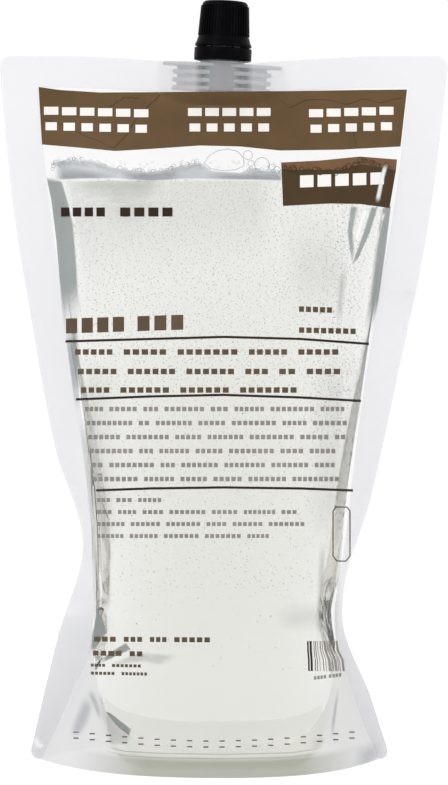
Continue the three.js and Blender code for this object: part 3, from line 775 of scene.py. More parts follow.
def dashes(x0, y0, x1, y1, height, shortest, longest, gap, seed, pitch):
    """A line of plain dashes in groups of uneven length."""
    order = random.Random(seed)
    patches = []
    x = x0
    while x < x1 - shortest:
        end = min(x + order.uniform(shortest, longest), x1)
        marks = max(1, round((end - x) / pitch))
        for k in range(marks):
            xa = x + (end - x) * k / marks
            xb = x + (end - x) * (k + DASH_SHARE) / marks
            ya = y0 + (y1 - y0) * (xa - x0) / (x1 - x0)
            yb = y0 + (y1 - y0) * (xb - x0) / (x1 - x0)
            patches.append(bar(xa, ya, xb, yb, height, INK))
        x = end + gap
    return patches


# Lines of dashes: left, right and place down the wall in pixels, and how high a dash is
MAIN_LINES = [(75, 345, 350.5), (78, 349, 370), (81, 307, 388.5)]
SIDE_LINES = [(299, 343, 309), (299, 362, 330)]
LOWER_LINES = [(97, 163, 500), (97, 300, 512), (97, 312, 524), (97, 270, 536)]
MANY_LINES = 6
FOOT_LINES = [(94, 230, 640, 5), (93, 151, 654, 5), (91, 142, 666, 3), (91, 148, 674, 3)]
printed("heading_bars", dashes(61, 212, 196, 212, 9, 40, 70, 12, 3, 13), rule_ink)
printed("large_bars", dashes(66, 326, 188, 322, 15, 50, 70, 9, 5, 17), text_ink)
dark = []
pale = []
for row, (x0, x1, y) in enumerate(MAIN_LINES):
    dark += dashes(x0, y + 1.5, x1, y + 1.5, 5.5, 18, 66, 9, 11 + row, 8.5)
for row, (x0, x1, y) in enumerate(SIDE_LINES):
    dark += dashes(x0, y, x1, y + 1.5, 5.5, 30, 60, 6, 21 + row, 7.5)
for row, (x0, x1, y) in enumerate(LOWER_LINES):
    pale += dashes(x0, y, x1, y, 4, 14, 40, 5, 31 + row, 5)
for row, (x0, x1, y, height) in enumerate(FOOT_LINES):
    dark += dashes(x0, y - 1, x1, y, height, 14, 40, 6, 41 + row, 7 if height > 4 else 4)
printed("small_print_dark", dark, text_ink)
for row in range(MANY_LINES):
    y = 409 + row * 14
    pale += dashes(85 + row * 1.5, y, 350 - row * 1.5, y, 4.5, 10, 48, 5, 51 + row, 5.5)
printed("small_print_pale", pale, grey_ink)

# Pairs of thin strokes along the foot, on a line that sags in the middle
SPACED_COUNT = 18
SPACED_LEFT = 76
SPACED_RIGHT = 352
SPACED_HEIGHT = 735
SPACED_SAG = 9
spaced = []
for k in range(SPACED_COUNT):
    share = k / (SPACED_COUNT - 1)
    x = SPACED_LEFT + (SPACED_RIGHT - SPACED_LEFT) * share
    y = SPACED_HEIGHT + SPACED_SAG * math.sin(math.pi * share)
    spaced.append(bar(x - 2.6, y - 3, x + 2.6, y - 3, 1.2, INK))
    spaced.append(bar(x - 2.6, y + 3, x + 2.6, y + 3, 1.2, INK))
printed("spaced_marks", spaced, text_ink)

# A plain outline near the right edge
ICON = [
    (336, 507), (347, 507), (350, 511), (350, 556), (346, 561), (337, 561), (333, 556), (333, 511),
    (336, 507)]
ICON_HALF_LINE = 0.6
outline = []
for (xa, ya), (xb, yb) in zip(ICON, ICON[1:]):
    length = math.hypot(xb - xa, yb - ya)
    nx, ny = (yb - ya) / length * ICON_HALF_LINE, -(xb - xa) / length * ICON_HALF_LINE
    outer = [(xa + nx, ya + ny), (xb + nx, yb + ny)]
    inner = [(xa - nx, ya - ny), (xb - nx, yb - ny)]
    outline.append(ribbon(outer, inner, INK))
printed("icon_outline", outline, text_ink)

# Plain upright bars that encode nothing, paler and bent where the film turns away
CODE_LEFT = 307.0
CODE_RIGHT = 338
DARK_BARS = 4
bars = []
order = random.Random(7)
x = CODE_LEFT
while x < CODE_RIGHT:
    width = order.choice((0.7, 1.0, 1.6, 2.2))
    lean = 1 + 5 * smoothstep(310, 330, x)
    line = [(x, 641), (x + 0.2 * lean, 650), (x + lean, 660), (x + 1.2 * lean, 671)]
    bars.append(ribbon(line, [(px + width, py) for px, py in line], INK))
    x += width + order.choice((0.9, 1.2, 1.8))
printed("code_bars", bars[:DARK_BARS], rule_ink)
printed("code_bars_pale", bars[DARK_BARS:] + dashes(314, 678, 346, 674, 3.5, 10, 16, 2, 61, 3), grey_ink)


# Folds of the film, seen as darker and lighter facets just inside it
INSIDE = -0.36
NEAR_INSIDE = -0.32


def shaded(name, patches, material):
    """Soft patches, each two lines, its depth, and the shares of its sides and ends that fade."""
    grids, fades = [], []
    for first, second, out, softness in patches:
        grid = ribbon(first, second, out, SHADE_STEP)
        u = spread(0, 1, grid.shape[0])[:, None]
        v = spread(0, 1, grid.shape[1])[None, :]
        fade = np.ones(grid.shape[:2])
        for place, soft in ((u, softness[0]), (1 - u, softness[1]), (v, softness[2]), (1 - v, softness[3])):
            if soft:
                fade = fade * smoothstep(0, soft, place)
        grids.append(grid)
        fades.append(fade.ravel())
    piece = printed(name, grids, material)
    attribute = piece.data.attributes.new("fade", "FLOAT", "POINT")
    attribute.data.foreach_set("value", np.concatenate(fades).astype(np.float32))


DARK_FOLDS = [
    ([(46, 176), (51, 200), (56, 240), (61, 300), (65, 340)],
     [(62, 180), (68, 200), (74, 225), (77, 262), (79, 295), (84, 316)], INSIDE, (0.02, 0.12, 0.03, 0.3)),
    ([(64, 330), (70, 372), (76, 420)],
     [(78, 300), (80, 360), (81, 420)], INSIDE, (0.1, 0.4, 0.3, 0.5)),
    ([(391.5, 205), (386, 250), (379, 300), (372, 335)],
     [(381, 207), (374, 250), (368, 300), (361, 335)], INSIDE, (0.02, 0.4, 0.02, 0.3)),
    ([(379, 206), (371, 232), (357, 262)],
     [(371, 206), (363, 232), (351, 266)], INSIDE, (0.25, 0.25, 0.05, 0.1)),
    ([(360, 206), (354, 232), (356, 260)],
     [(350, 206), (347, 232), (352, 268)], INSIDE, (0.5, 0.2, 0.03, 0.3)),
    ([(97, 610), (92, 632), (90, 652)],
     [(98, 611), (108, 632), (94, 652)], INSIDE, (0.1, 0.2, 0.05, 0.1)),
    ([(99, 661), (112, 651), (126, 642)],
     [(99, 665), (118, 656), (132, 650)], INSIDE, (0.2, 0.2, 0.3, 0.05)),
    ([(106, 711), (107, 730), (111, 746)],
     [(110, 713), (132, 729), (127, 745)], INSIDE, (0.05, 0.1, 0.05, 0.1)),
]
shaded("fold_facets_dark", DARK_FOLDS, fold_shade)

SOFT_FOLDS = [
    ([(106, 668), (140, 664), (164, 668)],
     [(112, 662), (140, 652), (183, 654)], INSIDE, (0.4, 0.3, 0.3, 0.2)),
    ([(310, 738), (311, 750)], [(328, 736), (322, 750)], INSIDE, (0.2, 0.2, 0.2, 0.2)),
    ([(371, 330), (364, 380), (356, 440)],
     [(364, 330), (356, 380), (349, 440)], INSIDE, (0.1, 0.5, 0.2, 0.4)),
    ([(77, 410), (86, 480), (94, 560), (97, 610)],
     [(86, 410), (93, 480), (99, 560), (101, 610)], INSIDE, (0.1, 0.6, 0.2, 0.3)),
    ([(327, 540), (325, 590), (321, 640)],
     [(318, 540), (316, 590), (314, 640)], INSIDE, (0.4, 0.6, 0.2, 0.2)),
    ([(352, 250), (346, 290), (342, 330)],
     [(336, 270), (336, 300), (334, 330)], INSIDE, (0.5, 0.5, 0.4, 0.4)),
    ([(68, 182), (110, 180), (170, 181)],
     [(70, 198), (115, 206), (170, 200)], INSIDE, (0.05, 0.9, 0.3, 0.3)),
    ([(98, 690), (101, 712), (107, 730)],
     [(102, 690), (106, 712), (111, 730)], INSIDE, (0.3, 0.5, 0.4, 0.3)),
]
shaded("fold_facets_soft", SOFT_FOLDS, soft_shade)

SEAL_DENTS = [
    ([(66, 738), (74, 712), (84, 690)],
     [(78, 742), (90, 724), (97, 700)], OVERPRINT, (0.45, 0.45, 0.3, 0.3)),
    ([(84, 690), (92, 704), (99, 724)],
     [(93, 686), (98, 700), (103, 716)], OVERPRINT, (0.45, 0.45, 0.3, 0.3)),
    ([(352, 746), (368, 740), (383, 735)],
     [(350, 770), (368, 766), (384, 757)], OVERPRINT, (0.6, 0.2, 0.5, 0.5)),
    ([(337, 684), (332, 714), (328, 742)],
     [(341, 684), (337, 714), (334, 742)], OVERPRINT, (0.5, 0.5, 0.4, 0.4)),
]
shaded("seal_dents", SEAL_DENTS, seal_shade)

# Painted shade in two thin lines along the bottom edge of the soap
BASE_LINE = [
    (101, 739), (108, 746), (125, 750.5), (160, 752.5), (224, 753.5), (290, 752), (318, 748), (326, 741)]
shaded("base_edge_shade", [
    (BASE_LINE, [(px, py + 1.6) for px, py in BASE_LINE], OVERPRINT, (0.3, 0.3, 0.1, 0.1)),
    ([(px, py + 4.6) for px, py in BASE_LINE], [(px, py + 5.8) for px, py in BASE_LINE], OVERPRINT,
     (0.3, 0.3, 0.1, 0.1)),
], soft_shade)

# Soft grey patches of painted shade over the soap
SOAP_SHADE_PATCHES = [
    ([(64, 180), (150, 180), (282, 180)],
     [(86, 300), (150, 290), (282, 270)], INSIDE, (0.02, 0.8, 0.03, 0.15)),
    ([(100, 180), (130, 180), (160, 180)],
     [(96, 232), (128, 240), (160, 228)], NEAR_INSIDE, (0.1, 0.7, 0.4, 0.4)),
    ([(270, 200), (320, 205), (352, 208)],
     [(280, 335), (325, 335), (352, 330)], INSIDE, (0.5, 0.5, 0.5, 0.3)),
    ([(84, 340), (84, 440), (100, 560)],
     [(130, 340), (125, 440), (130, 560)], INSIDE, (0.2, 0.8, 0.3, 0.3)),
    ([(268, 606), (296, 600), (322, 598)],
     [(272, 632), (298, 636), (324, 634)], INSIDE, (0.5, 0.5, 0.5, 0.1)),
    ([(300, 340), (300, 440), (300, 560)],
     [(352, 340), (345, 440), (330, 560)], INSIDE, (0.8, 0.2, 0.3, 0.3)),
]
shaded("painted_soap_shade_patches", SOAP_SHADE_PATCHES, painted_soap_shade)

GLINTS = [
    ([(30, 738), (35, 748), (43, 752)], [(37, 733), (42, 741), (48, 746)], GLINT, (0.4, 0.4, 0.3, 0.3)),
    ([(383, 163), (379, 180), (374, 203)],
     [(389, 163), (384, 182), (380, 204)], GLINT, (0.35, 0.35, 0.2, 0.2)),
    ([(383, 212), (374, 240)], [(386, 212), (376, 250)], INSIDE, (0.3, 0.3, 0.1, 0.3)),
    ([(362, 208), (353, 240)], [(370, 208), (356, 250)], INSIDE, (0.4, 0.4, 0.1, 0.3)),
    ([(97, 566), (99, 590), (100, 606)],
     [(101, 566), (103, 590), (103, 606)], INSIDE, (0.4, 0.4, 0.3, 0.3)),
]
shaded("fold_glints", GLINTS, fold_light)

# The foam band and the gloom patches below are painted shade
FOAM_TOP = [
    (48, 158), (58, 157), (66, 159), (80, 158), (94, 160), (108, 165), (130, 169), (150, 171), (165, 169),
    (180, 165), (195, 162), (204, 163), (212, 170), (240, 172), (248, 168), (262, 170), (283, 171)]
FOAM_BOTTOM = [(54, 181), (80, 178.5), (120, 178.5), (150, 180.5), (180, 179), (220, 178.5), (283, 180)]
shaded("foam_shade_band", [(FOAM_TOP, FOAM_BOTTOM, INSIDE, (0.3, 0.06, 0.05, 0.02))], foam_shade)

GLOOM = [
    ([(118, 170), (150, 172), (186, 168)],
     [(118, 181), (150, 183), (186, 180)], NEAR_INSIDE, (0.5, 0.3, 0.35, 0.35)),
    ([(52, 164), (80, 166), (120, 170)],
     [(54, 180), (84, 179), (120, 179)], NEAR_INSIDE, (0.9, 0.1, 0.2, 0.6)),
    ([(200, 168), (250, 171), (283, 172)],
     [(200, 180), (250, 180), (283, 181)], NEAR_INSIDE, (0.9, 0.1, 0.4, 0.05)),
]
shaded("foam_gloom_band", GLOOM, foam_gloom)


# Foam: bubbles that touch the front film, as rims and walls
def bubble_ring(px, py, radius, thick):
    """A rim of a bubble on the inner face of the film, radius and thickness in pixels."""
    angles = spread(0, 2 * math.pi, 25)
    inner = [(px + (radius - thick) * math.cos(a), py + (radius - thick) * math.sin(a)) for a in angles]
    outer = [(px + (radius + thick) * math.cos(a), py + (radius + thick) * math.sin(a)) for a in angles]
    return ribbon(inner, outer, INSIDE)


# Places in pixels: single bubbles with radius and rim, the one large bubble, the line that
# the small ones lie along, and the line of those that show through the label
SINGLE_BUBBLES = [
    (248, 155, 4.5, 0.35), (262, 165, 7.5, 0.4), (272, 167, 3, 0.35), (277, 170, 3.5, 0.35),
    (255, 171, 2.5, 0.3), (251, 163, 3, 0.3)]
LARGE_BUBBLE = [
    (204, 163), (209, 155), (218, 150), (228, 148.5), (238, 151), (244, 158), (244.5, 166), (236, 170),
    (222, 171), (210, 168.5), (204, 163)]
FOAM_LINE = [
    (52, 163), (80, 158), (100, 164), (130, 170), (150, 171), (180, 166), (193, 161), (204, 163),
    (245, 168), (283, 171)]
LABEL_FOAM_LINE = [(284, 168), (300, 170), (340, 171), (350, 166), (362, 161), (375, 164), (392, 169)]
order = random.Random(19)
rims = [bubble_ring(*bubble) for bubble in SINGLE_BUBBLES]
inner_rim = [(px + (224 - px) * 0.04, py + (161 - py) * 0.07) for px, py in LARGE_BUBBLE]
rims.append(ribbon(LARGE_BUBBLE, inner_rim, INSIDE))
for px, py in along(FOAM_LINE, 260):
    radius = order.uniform(0.9, 2.6)
    if not 203 < px < 247:
        rims.append(bubble_ring(px + order.uniform(-2, 2), py + order.uniform(-0.5, 6), radius, 0.26))
# The grey rims are painted shade, where the bubble walls turn the light away
printed("foam_rim_shade", rims, bubble_rim_shade)


def moved_out(grid, step):
    """The same patch further from the middle plane."""
    return grid - np.array([0, step, 0])


# Rims of the bubbles that show through the label, drawn in the dark label ink as painted shade
label_rims = []
for px, py in along(LABEL_FOAM_LINE, 40):
    ring = bubble_ring(
        px + order.uniform(-1.5, 1.5), py + order.uniform(-1.5, 2.5), order.uniform(1.2, 3.2), 0.3)
    label_rims.append(moved_out(ring, 0.6))
printed("label_bubble_rim_shade", label_rims, label_ink)

# Thin lines of bubbles and folds that show through the title band, drawn in the dark label ink as painted
# shade
BAND_LINES = [
    [(104, 112), (112, 105), (124, 97), (140, 98), (150, 110)],
    [(44, 118), (70, 128), (96, 140), (112, 148), (124, 138), (136, 118), (150, 104), (160, 94)],
    [(276, 96), (288, 107), (304, 101), (322, 98), (344, 104), (362, 99), (380, 102), (402, 98)],
    [(352, 128), (356, 148)],
]
band_patches = []
for line in BAND_LINES:
    wavy = [(px, py + 0.8 * math.sin(px * 0.9)) for px, py in along(line, 24)]
    band_patches.append(ribbon(wavy, [(px + 0.5, py + 0.7) for px, py in wavy], UNDER_PRINT))
printed("foam_shade_lines_on_band", band_patches, label_ink)


# Scattered bubbles, made by geometry nodes
def scatter_tree():
    """Scatters small round bubbles over a sheet and through the depth behind it."""
    tree = bpy.data.node_groups.new("scattered_bubbles", "GeometryNodeTree")
    sockets = tree.interface
    sockets.new_socket("Sheet", in_out="INPUT", socket_type="NodeSocketGeometry")
    sizes = (("Bubbles per square metre", 1000.0), ("Smallest radius", 0.0001), ("Largest radius", 0.0003))
    for name, value in sizes:
        sockets.new_socket(name, in_out="INPUT", socket_type="NodeSocketFloat").default_value = value
    sockets.new_socket("Seed", in_out="INPUT", socket_type="NodeSocketInt").default_value = 1
    sockets.new_socket("Material", in_out="INPUT", socket_type="NodeSocketMaterial")
    sockets.new_socket("Bubbles", in_out="OUTPUT", socket_type="NodeSocketGeometry")
    given = tree.nodes.new("NodeGroupInput").outputs
    points = add(tree, "GeometryNodeDistributePointsOnFaces", {
        "Mesh": given["Sheet"], "Density": given["Bubbles per square metre"], "Seed": given["Seed"]})
    depth = add(tree, "GeometryNodeInputNamedAttribute", {"Name": "half_depth"}, data_type="FLOAT")
    part = add(tree, "FunctionNodeRandomValue", {2: -1.0, 3: 1.0, "Seed": given["Seed"]}, data_type="FLOAT")
    back = add(tree, "ShaderNodeMath", {0: depth.outputs[0], 1: part.outputs[1]}, operation="MULTIPLY")
    shift = add(tree, "ShaderNodeCombineXYZ", {"Y": back.outputs[0]})
    placed = add(tree, "GeometryNodeSetPosition", {
        "Geometry": points.outputs["Points"], "Offset": shift.outputs[0]})
    ball = add(tree, "GeometryNodeMeshIcoSphere", {"Radius": 1.0, "Subdivisions": 1})
    size = add(tree, "FunctionNodeRandomValue", {
        2: given["Smallest radius"], 3: given["Largest radius"], "Seed": given["Seed"]}, data_type="FLOAT")
    balls = add(tree, "GeometryNodeInstanceOnPoints", {
        "Points": placed.outputs[0], "Instance": ball.outputs["Mesh"], "Scale": size.outputs[1]})
    real = add(tree, "GeometryNodeRealizeInstances", {"Geometry": balls.outputs[0]})
    smooth = add(tree, "GeometryNodeSetShadeSmooth", {0: real.outputs[0]})
    finish = add(tree, "GeometryNodeSetMaterial", {
        "Geometry": smooth.outputs[0], "Material": given["Material"]})
    add(tree, "NodeGroupOutput", {"Bubbles": finish.outputs[0]})
    return tree


def set_input(modifier, name, value):
    """Sets one named input of a tree by its socket's identifier."""
    for item in modifier.node_group.interface.items_tree:
        if item.item_type == "SOCKET" and item.in_out == "INPUT" and item.name == name:
            modifier[item.identifier] = value


def made_piece(name, source, tree, values, body="pack"):
    """Runs a geometry tree on a source mesh and keeps the result as a plain piece."""
    modifier = source.modifiers.new(name, "NODES")
    modifier.node_group = tree
    for key, value in values.items():
        set_input(modifier, key, value)
    evaluated = source.evaluated_get(bpy.context.evaluated_depsgraph_get())
    mesh = bpy.data.meshes.new_from_object(evaluated)
    mesh.name = name
    source.modifiers.remove(modifier)
    bpy.data.objects.remove(source)
    piece = bpy.data.objects.new(name, mesh)
    bpy.context.scene.collection.objects.link(piece)
    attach(piece, body)
    return piece


def scatter_sheet(name, share_range, height_range, fill):
    """A sheet on the middle plane that keeps how deep the pack is at each of its points."""
    rows, columns = 50, 40
    shares = spread(*share_range, columns)[None, :]
    heights = spread(*height_range, rows)[:, None]
    shares, heights = np.broadcast_arrays(shares, heights)
    points = np.stack([film_x(shares, heights), 0 * heights, heights], -1)
    sheet = piece_from(name, points.reshape(-1, 3), grid_faces(rows, columns), clear_film, body=None)
    half = np.maximum(wall_bulge(shares, heights) * fill - FILM_CLEARANCE, 0) * 0.001
    attribute = sheet.data.attributes.new("half_depth", "FLOAT", "POINT")
    attribute.data.foreach_set("value", half.ravel().astype(np.float32))
    return sheet


# Gap in millimetres that bubbles keep from the film, share of the depth that the specks
# fill, and their smallest radius in metres
FILM_CLEARANCE = 0.8
SPECK_DEPTH_SHARE = 0.93
SMALLEST_SPECK = 0.0001

# Specks in the soap: shares of the width, heights in millimetres, specks to the square
# metre, largest radius in metres, seed and material
# The grey specks are painted shade and the white ones painted highlight, on the same bubbles
SPECKS = [
    ("soap_specks_shaded", (-0.74, 0.78), (140, 222), 620000.0, 0.00025, 5, painted_shade_speck),
    ("soap_specks_low", (-0.7, 0.76), (62, 140), 200000.0, 0.00022, 6, painted_shade_speck),
    ("soap_specks_lit", (-0.72, 0.76), (30, 221), 40000.0, 0.0003, 9, painted_highlight_speck),
    ("soap_specks_right", (0.5, 0.72), (120, 215), 700000.0, 0.00026, 13, painted_shade_speck),
]
bubbles = scatter_tree()
for name, shares, heights, density, largest, seed, material in SPECKS:
    made_piece(name, scatter_sheet("specks", shares, heights, SPECK_DEPTH_SHARE), bubbles, {
        "Bubbles per square metre": density, "Smallest radius": SMALLEST_SPECK, "Largest radius": largest,
        "Seed": seed, "Material": material})
FOAM_HEIGHTS = (FILL_HEIGHT + 1.7, FILL_HEIGHT + 5.5)
foam = made_piece("foam_bubbles", scatter_sheet("foam", (-0.78, 0.78), FOAM_HEIGHTS, 0.86), bubbles, {
    "Bubbles per square metre": 300000.0, "Smallest radius": 0.0004, "Largest radius": 0.0009, "Seed": 21,
    "Material": bubble_wall})
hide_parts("foam")


# Spout, tamper band, cap and liner, built upright and set on the leaning axis
flange_top = Matrix.Translation((SPOUT_OFFSET, 0, FILM_HEIGHT - TOP_DIP - SPOUT_DROP))
closure = flange_top @ Matrix.Rotation(SPOUT_LEAN, 4, "Y")


def leaning(points):
    """Sets points of the upright closure on its leaning axis."""
    return np.array([tuple(closure @ Vector(p)) for p in np.asarray(points, float)])


def turned(profile, segments=96):
    """Points and faces of a profile of (radius, height) turned round the axis."""
    points, faces, rows = [], [], []
    angles = np.arange(segments) * 2 * math.pi / segments
    for radius, z in profile:
        if radius == 0:
            rows.append([len(points)])
            points.append((0, 0, z))
        else:
            rows.append(list(range(len(points), len(points) + segments)))
            points += [(radius * math.cos(a), radius * math.sin(a), z) for a in angles]
    for low, high in zip(rows, rows[1:]):
        for k in range(segments):
            n = (k + 1) % segments
            if len(low) == 1:
                faces.append((low[0], high[n], high[k]))
            elif len(high) == 1:
                faces.append((low[k], low[n], high[0]))
            else:
                faces.append((low[k], low[n], high[n], high[k]))
    return points, faces


def oval_plate(half_length, half_depth, bottom, top, edge=0.25, segments=40):
    """Points and faces of a plate with a pointed oval outline and eased edges."""
    radius = (half_length ** 2 + half_depth ** 2) / (2 * half_depth)
    reach = math.asin(half_length / radius)
    ring = []
    for side in (1, -1):
        for a in spread(reach, -reach, segments)[:-1]:
            ring.append((side * radius * math.sin(a), side * (radius * math.cos(a) - radius + half_depth)))
    ring = np.array(ring)
    points, faces = [], []
    for inset, z in ((edge, bottom), (0, bottom + edge), (0, top - edge), (edge, top)):
        size = np.hypot(ring[:, 0], ring[:, 1])
        scaled = ring * ((size - inset) / size)[:, None]
        points += [(x, y, z) for x, y in scaled]
    count = len(ring)
    for row in range(3):
        for k in range(count):
            n = (k + 1) % count
            faces.append((row * count + n, row * count + k, (row + 1) * count + k, (row + 1) * count + n))
    faces.append(tuple(range(count)))
    faces.append(tuple(3 * count + k for k in reversed(range(count))))
    return points, faces


def joined(parts):
    """Puts the points and faces of several shapes together."""
    points, faces = [], []
    for part_points, part_faces in parts:
        start = len(points)
        points += list(part_points)
        faces += [tuple(i + start for i in face) for face in part_faces]
    return points, faces


SHARP_ANGLE = math.radians(35)


def closure_piece(name, parts, material, body, node):
    """Makes a piece of the closure, smooth but for its sharp edges."""
    points, faces = joined(parts)
    piece = piece_from(name, leaning(points), faces, material, body)
    piece.data.set_sharp_from_angle(angle=SHARP_ANGLE)
    if node:
        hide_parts(node)


def thread(radius, ridge, start, turns, lead=3.0):
    """A right-hand helical ridge with a round section."""
    steps = int(36 * turns)
    points, faces = [], []
    for i in range(steps + 1):
        angle = 2 * math.pi * turns * i / steps
        z = start + lead * turns * i / steps
        size = ridge * min(1, 6 * min(i, steps - i) / steps + 0.15)
        for k in range(8):
            s = 2 * math.pi * k / 8
            r = radius + size * math.cos(s)
            points.append((r * math.cos(angle), r * math.sin(angle), z + size * math.sin(s)))
    for i in range(steps):
        for k in range(8):
            n = (k + 1) % 8
            faces.append((i * 8 + k, (i + 1) * 8 + k, (i + 1) * 8 + n, i * 8 + n))
    faces.append(tuple(range(8)))
    faces.append(tuple(reversed(range(steps * 8, steps * 8 + 8))))
    return points, faces


RIB_COUNT = 3
RIB_THICKNESS = 1.7
RIB_PITCH = (BOAT_HEIGHT - FLANGE_THICKNESS) / RIB_COUNT
spout_profile = [
    (BORE_RADIUS, -BOAT_HEIGHT), (7.2, -BOAT_HEIGHT), (7.2, 0), (8.4, 0), (8.4, 0.8), (7.4, 0.8),
    (7.4, 3.6), (8.9, 3.6), (9, 4.0), (NECK_RADIUS, 4.9), (NECK_RADIUS, NECK_HEIGHT - 0.4),
    (NECK_RADIUS - 0.4, NECK_HEIGHT), (BORE_RADIUS, NECK_HEIGHT), (BORE_RADIUS, -BOAT_HEIGHT)]
spout_parts = [
    oval_plate(17, 5.2, -BOAT_HEIGHT, 0),
    oval_plate(22.6, 8, -FLANGE_THICKNESS, 0, 0.3),
]
for k in range(RIB_COUNT):
    bottom = -BOAT_HEIGHT + k * RIB_PITCH
    spout_parts.append(oval_plate(18.7, 7.6, bottom, bottom + RIB_THICKNESS, 0.3))
spout_parts.append(turned(spout_profile))
spout_parts.append(thread(NECK_RADIUS + 0.1, 0.65, 8.3, 2))
closure_piece("spout_moulding", spout_parts, spout_plastic, "pack", "spout")

BARREL_RADIUS = 8.5
barrel_profile = [
    (7.3, -BOAT_HEIGHT), (BARREL_RADIUS - 0.2, -BOAT_HEIGHT), (BARREL_RADIUS, -BOAT_HEIGHT + 0.2),
    (BARREL_RADIUS, -0.1), (7.3, -0.1), (7.3, -BOAT_HEIGHT)]
closure_piece("spout_barrel", [turned(barrel_profile)], shaded_barrel_plastic, "pack", None)

band_profile = [
    (9.4, 1.4), (9.7, 1.1), (10.45, 1.1), (10.75, 1.25), (10.85, 1.5), (10.85, 5.5), (10.75, 5.8),
    (10.55, 5.9), (9.5, 5.9), (9.4, 5.8), (9.4, 3.3), (7.8, 3.3), (7.8, 2.35), (9.4, 1.4)]
closure_piece("tamper_ring", [turned(band_profile)], cap_plastic, "pack", "tamper_band")

cap_profile = [
    (0, 22.3), (7.8, 22.3), (7.8, CAP_CONE_TOP), (9.0, CAP_BOTTOM), (10.5, CAP_BOTTOM),
    (10.7, CAP_BOTTOM + 0.15), (10.7, CAP_BOTTOM + 0.8), (10.3, CAP_BOTTOM + 1.4),
    (9.75, CAP_CONE_TOP - 0.5), (9.5, CAP_CONE_TOP), (9.4, CAP_CONE_TOP + 0.4), (8.72, 21.6), (8.6, 22.3),
    (8.25, 22.95), (7.7, 23.35), (7.0, CAP_TOP), (4.5, CAP_TOP), (4.2, 23.35), (0, 23.35)]
cap_parts = [turned(cap_profile), thread(7.7, 0.55, 9.8, 1.5)]
closure_piece("screw_cap", cap_parts, cap_plastic, "cap", "cap")


def rib_tree():
    """Sets a grip rib at even steps round a ring, leaning in as the cap tapers."""
    tree = bpy.data.node_groups.new("grip_ribs", "GeometryNodeTree")
    sockets = tree.interface
    sockets.new_socket("Axis", in_out="INPUT", socket_type="NodeSocketGeometry")
    sockets.new_socket("Ribs", in_out="INPUT", socket_type="NodeSocketInt").default_value = 48
    sizes = (
        ("Ring radius", 0.009), ("Rib width", 0.0005), ("Rib depth", 0.0006), ("Rib height", 0.011),
        ("Taper", 0.07))
    for name, value in sizes:
        sockets.new_socket(name, in_out="INPUT", socket_type="NodeSocketFloat").default_value = value
    sockets.new_socket("Material", in_out="INPUT", socket_type="NodeSocketMaterial")
    sockets.new_socket("Grip", in_out="OUTPUT", socket_type="NodeSocketGeometry")
    given = tree.nodes.new("NodeGroupInput").outputs
    ring = add(tree, "GeometryNodeMeshCircle", {"Vertices": given["Ribs"], "Radius": given["Ring radius"]})
    size = add(tree, "ShaderNodeCombineXYZ", {
        "X": given["Rib depth"], "Y": given["Rib width"], "Z": given["Rib height"]})
    rib = add(tree, "GeometryNodeMeshCube", {"Size": size.outputs[0]})
    number = add(tree, "GeometryNodeInputIndex")
    full = add(tree, "ShaderNodeMath", {0: number.outputs[0], 1: 2 * math.pi}, operation="MULTIPLY")
    angle = add(tree, "ShaderNodeMath", {0: full.outputs[0], 1: given["Ribs"]}, operation="DIVIDE")
    back = add(tree, "ShaderNodeMath", {0: given["Taper"], 1: -1.0}, operation="MULTIPLY")
    turn = add(tree, "ShaderNodeCombineXYZ", {"Y": back.outputs[0], "Z": angle.outputs[0]})
    ribs = add(tree, "GeometryNodeInstanceOnPoints", {
        "Points": ring.outputs["Mesh"], "Instance": rib.outputs["Mesh"], "Rotation": turn.outputs[0]})
    real = add(tree, "GeometryNodeRealizeInstances", {"Geometry": ribs.outputs[0]})
    finish = add(tree, "GeometryNodeSetMaterial", {
        "Geometry": real.outputs[0], "Material": given["Material"]})
    add(tree, "NodeGroupOutput", {"Grip": finish.outputs[0]})
    return tree


RIB_MIDDLE = 16.0
axis = piece_from("axis", [(0, 0, 0)], [], cap_plastic, body=None, smooth=False)
grip = made_piece("cap_grip_ribs", axis, rib_tree(), {
    "Ribs": 48, "Ring radius": 0.00898, "Rib width": 0.00048, "Rib depth": 0.0009, "Rib height": 0.0112,
    "Taper": 0.062, "Material": cap_plastic}, "cap")
coords = np.array([v.co for v in grip.data.vertices]) * 1000 + np.array([0, 0, RIB_MIDDLE])
grip.data.vertices.foreach_set("co", (leaning(coords) * 0.001).ravel())
grip.data.update()

liner_profile = [(0, 21), (7.25, 21), (7.4, 21.15), (7.4, 21.85), (7.25, 22), (0, 22)]
closure_piece("sealing_disc", [turned(liner_profile)], liner_foam, "cap_seal", "cap_liner")

# Bridges of the tamper ring that show in the slit
BRIDGE_COUNT = 8
FIRST_BRIDGE = 0.35
BOX_FACES = [(0, 1, 3, 2), (4, 6, 7, 5), (0, 4, 5, 1), (2, 3, 7, 6), (0, 2, 6, 4), (1, 5, 7, 3)]
bridges = []
for angle in np.arange(BRIDGE_COUNT) * 2 * math.pi / BRIDGE_COUNT + FIRST_BRIDGE:
    ca, sa = math.cos(angle), math.sin(angle)
    box = []
    for r in (9.6, 10.4):
        for w in (-0.3, 0.3):
            for z in (5.85, 6.32):
                box.append((r * ca - w * sa, r * sa + w * ca, z))
    bridges.append((box, BOX_FACES))
closure_piece("ring_bridge_stubs", bridges, cap_plastic, "pack", None)


# Floor, light and camera
FLOOR_BRIGHTNESS = 1.12
FLOOR_BRIGHT_SHARE = 0.8
SKY_LIGHT = 0.72
SKY_SEEN = 1.02


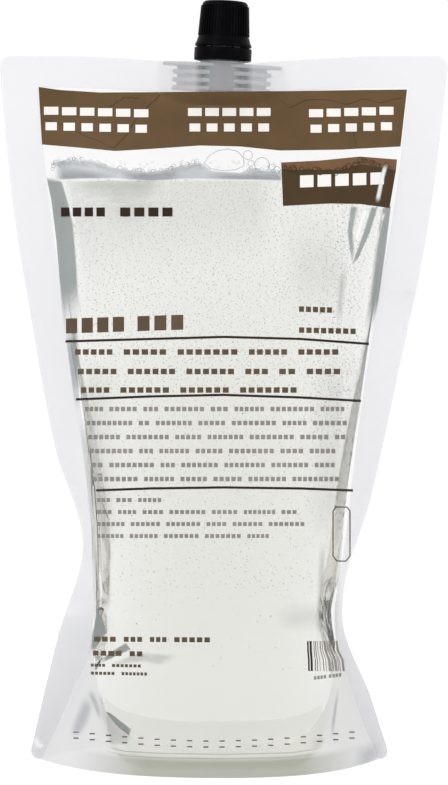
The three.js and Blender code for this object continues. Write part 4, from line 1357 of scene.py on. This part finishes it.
def seen_rays(tree):
    """Is 1 for a ray that sees the white ground itself, also in or through the pack."""
    rays = add(tree, "ShaderNodeLightPath").outputs
    straight, mirrored, through = rays["Is Camera Ray"], rays["Is Glossy Ray"], rays["Is Transmission Ray"]
    either = add(tree, "ShaderNodeMath", {0: straight, 1: mirrored}, operation="MAXIMUM")
    seen = add(tree, "ShaderNodeMath", {0: either.outputs[0], 1: through}, operation="MAXIMUM")
    return seen.outputs[0]


floor_material = bpy.data.materials.new("studio_floor")
floor_material.use_nodes = True
tree = floor_material.node_tree
tree.nodes.clear()
plain = add(tree, "ShaderNodeBsdfDiffuse", {"Color": (0.97, 0.97, 0.97, 1)})
bright = add(tree, "ShaderNodeEmission", {"Color": (1, 1, 1, 1), "Strength": FLOOR_BRIGHTNESS})
part = add(tree, "ShaderNodeMath", {0: seen_rays(tree), 1: FLOOR_BRIGHT_SHARE}, operation="MULTIPLY")
mixed = add(tree, "ShaderNodeMixShader", {0: part.outputs[0], 1: plain.outputs[0], 2: bright.outputs[0]})
add(tree, "ShaderNodeOutputMaterial", {"Surface": mixed.outputs[0]})
FLOOR_CORNERS = [(-4000, -3000, 0), (4000, -3000, 0), (4000, 5000, 0), (-4000, 5000, 0)]
floor = piece_from(
    "studio_floor_plane", FLOOR_CORNERS, [(0, 1, 2, 3)], floor_material, body=None, smooth=False)

world = bpy.data.worlds.new("studio")
bpy.context.scene.world = world
world.use_nodes = True
tree = world.node_tree
tree.nodes.clear()
strength = add(tree, "ShaderNodeMapRange", {
    "Value": seen_rays(tree), "To Min": SKY_LIGHT, "To Max": SKY_SEEN})
sky = add(tree, "ShaderNodeBackground", {"Color": (1, 1, 1, 1), "Strength": strength.outputs[0]})
add(tree, "ShaderNodeOutputWorld", {"Surface": sky.outputs[0]})


def soft_light(name, place, size, watts):
    """A soft box that faces the middle of the pack, in metres."""
    light = bpy.data.lights.new(name, "AREA")
    light.shape = "RECTANGLE"
    light.size, light.size_y = size
    light.energy = watts
    lamp = bpy.data.objects.new(name, light)
    lamp.location = place
    lamp.rotation_euler = (PACK_MIDDLE - Vector(place)).to_track_quat("-Z", "Y").to_euler()
    bpy.context.scene.collection.objects.link(lamp)


PACK_MIDDLE = Vector((0, 0, 0.14))
soft_light("key_light", (-0.8, -1.1, 1.1), (0.8, 0.8), 7.0)
soft_light("fill_light", (1.0, -0.7, 0.6), (0.7, 1.0), 2.5)

camera_data = bpy.data.cameras.new("camera")
camera_data.lens = LENS
camera_data.sensor_width = SENSOR
camera = bpy.data.objects.new("camera", camera_data)
camera.location = Vector(CAMERA_PLACE) * 0.001
camera.rotation_euler = camera_turn.to_euler()
bpy.context.scene.collection.objects.link(camera)
bpy.context.scene.camera = camera
bpy.context.scene.view_settings.view_transform = "Standard"
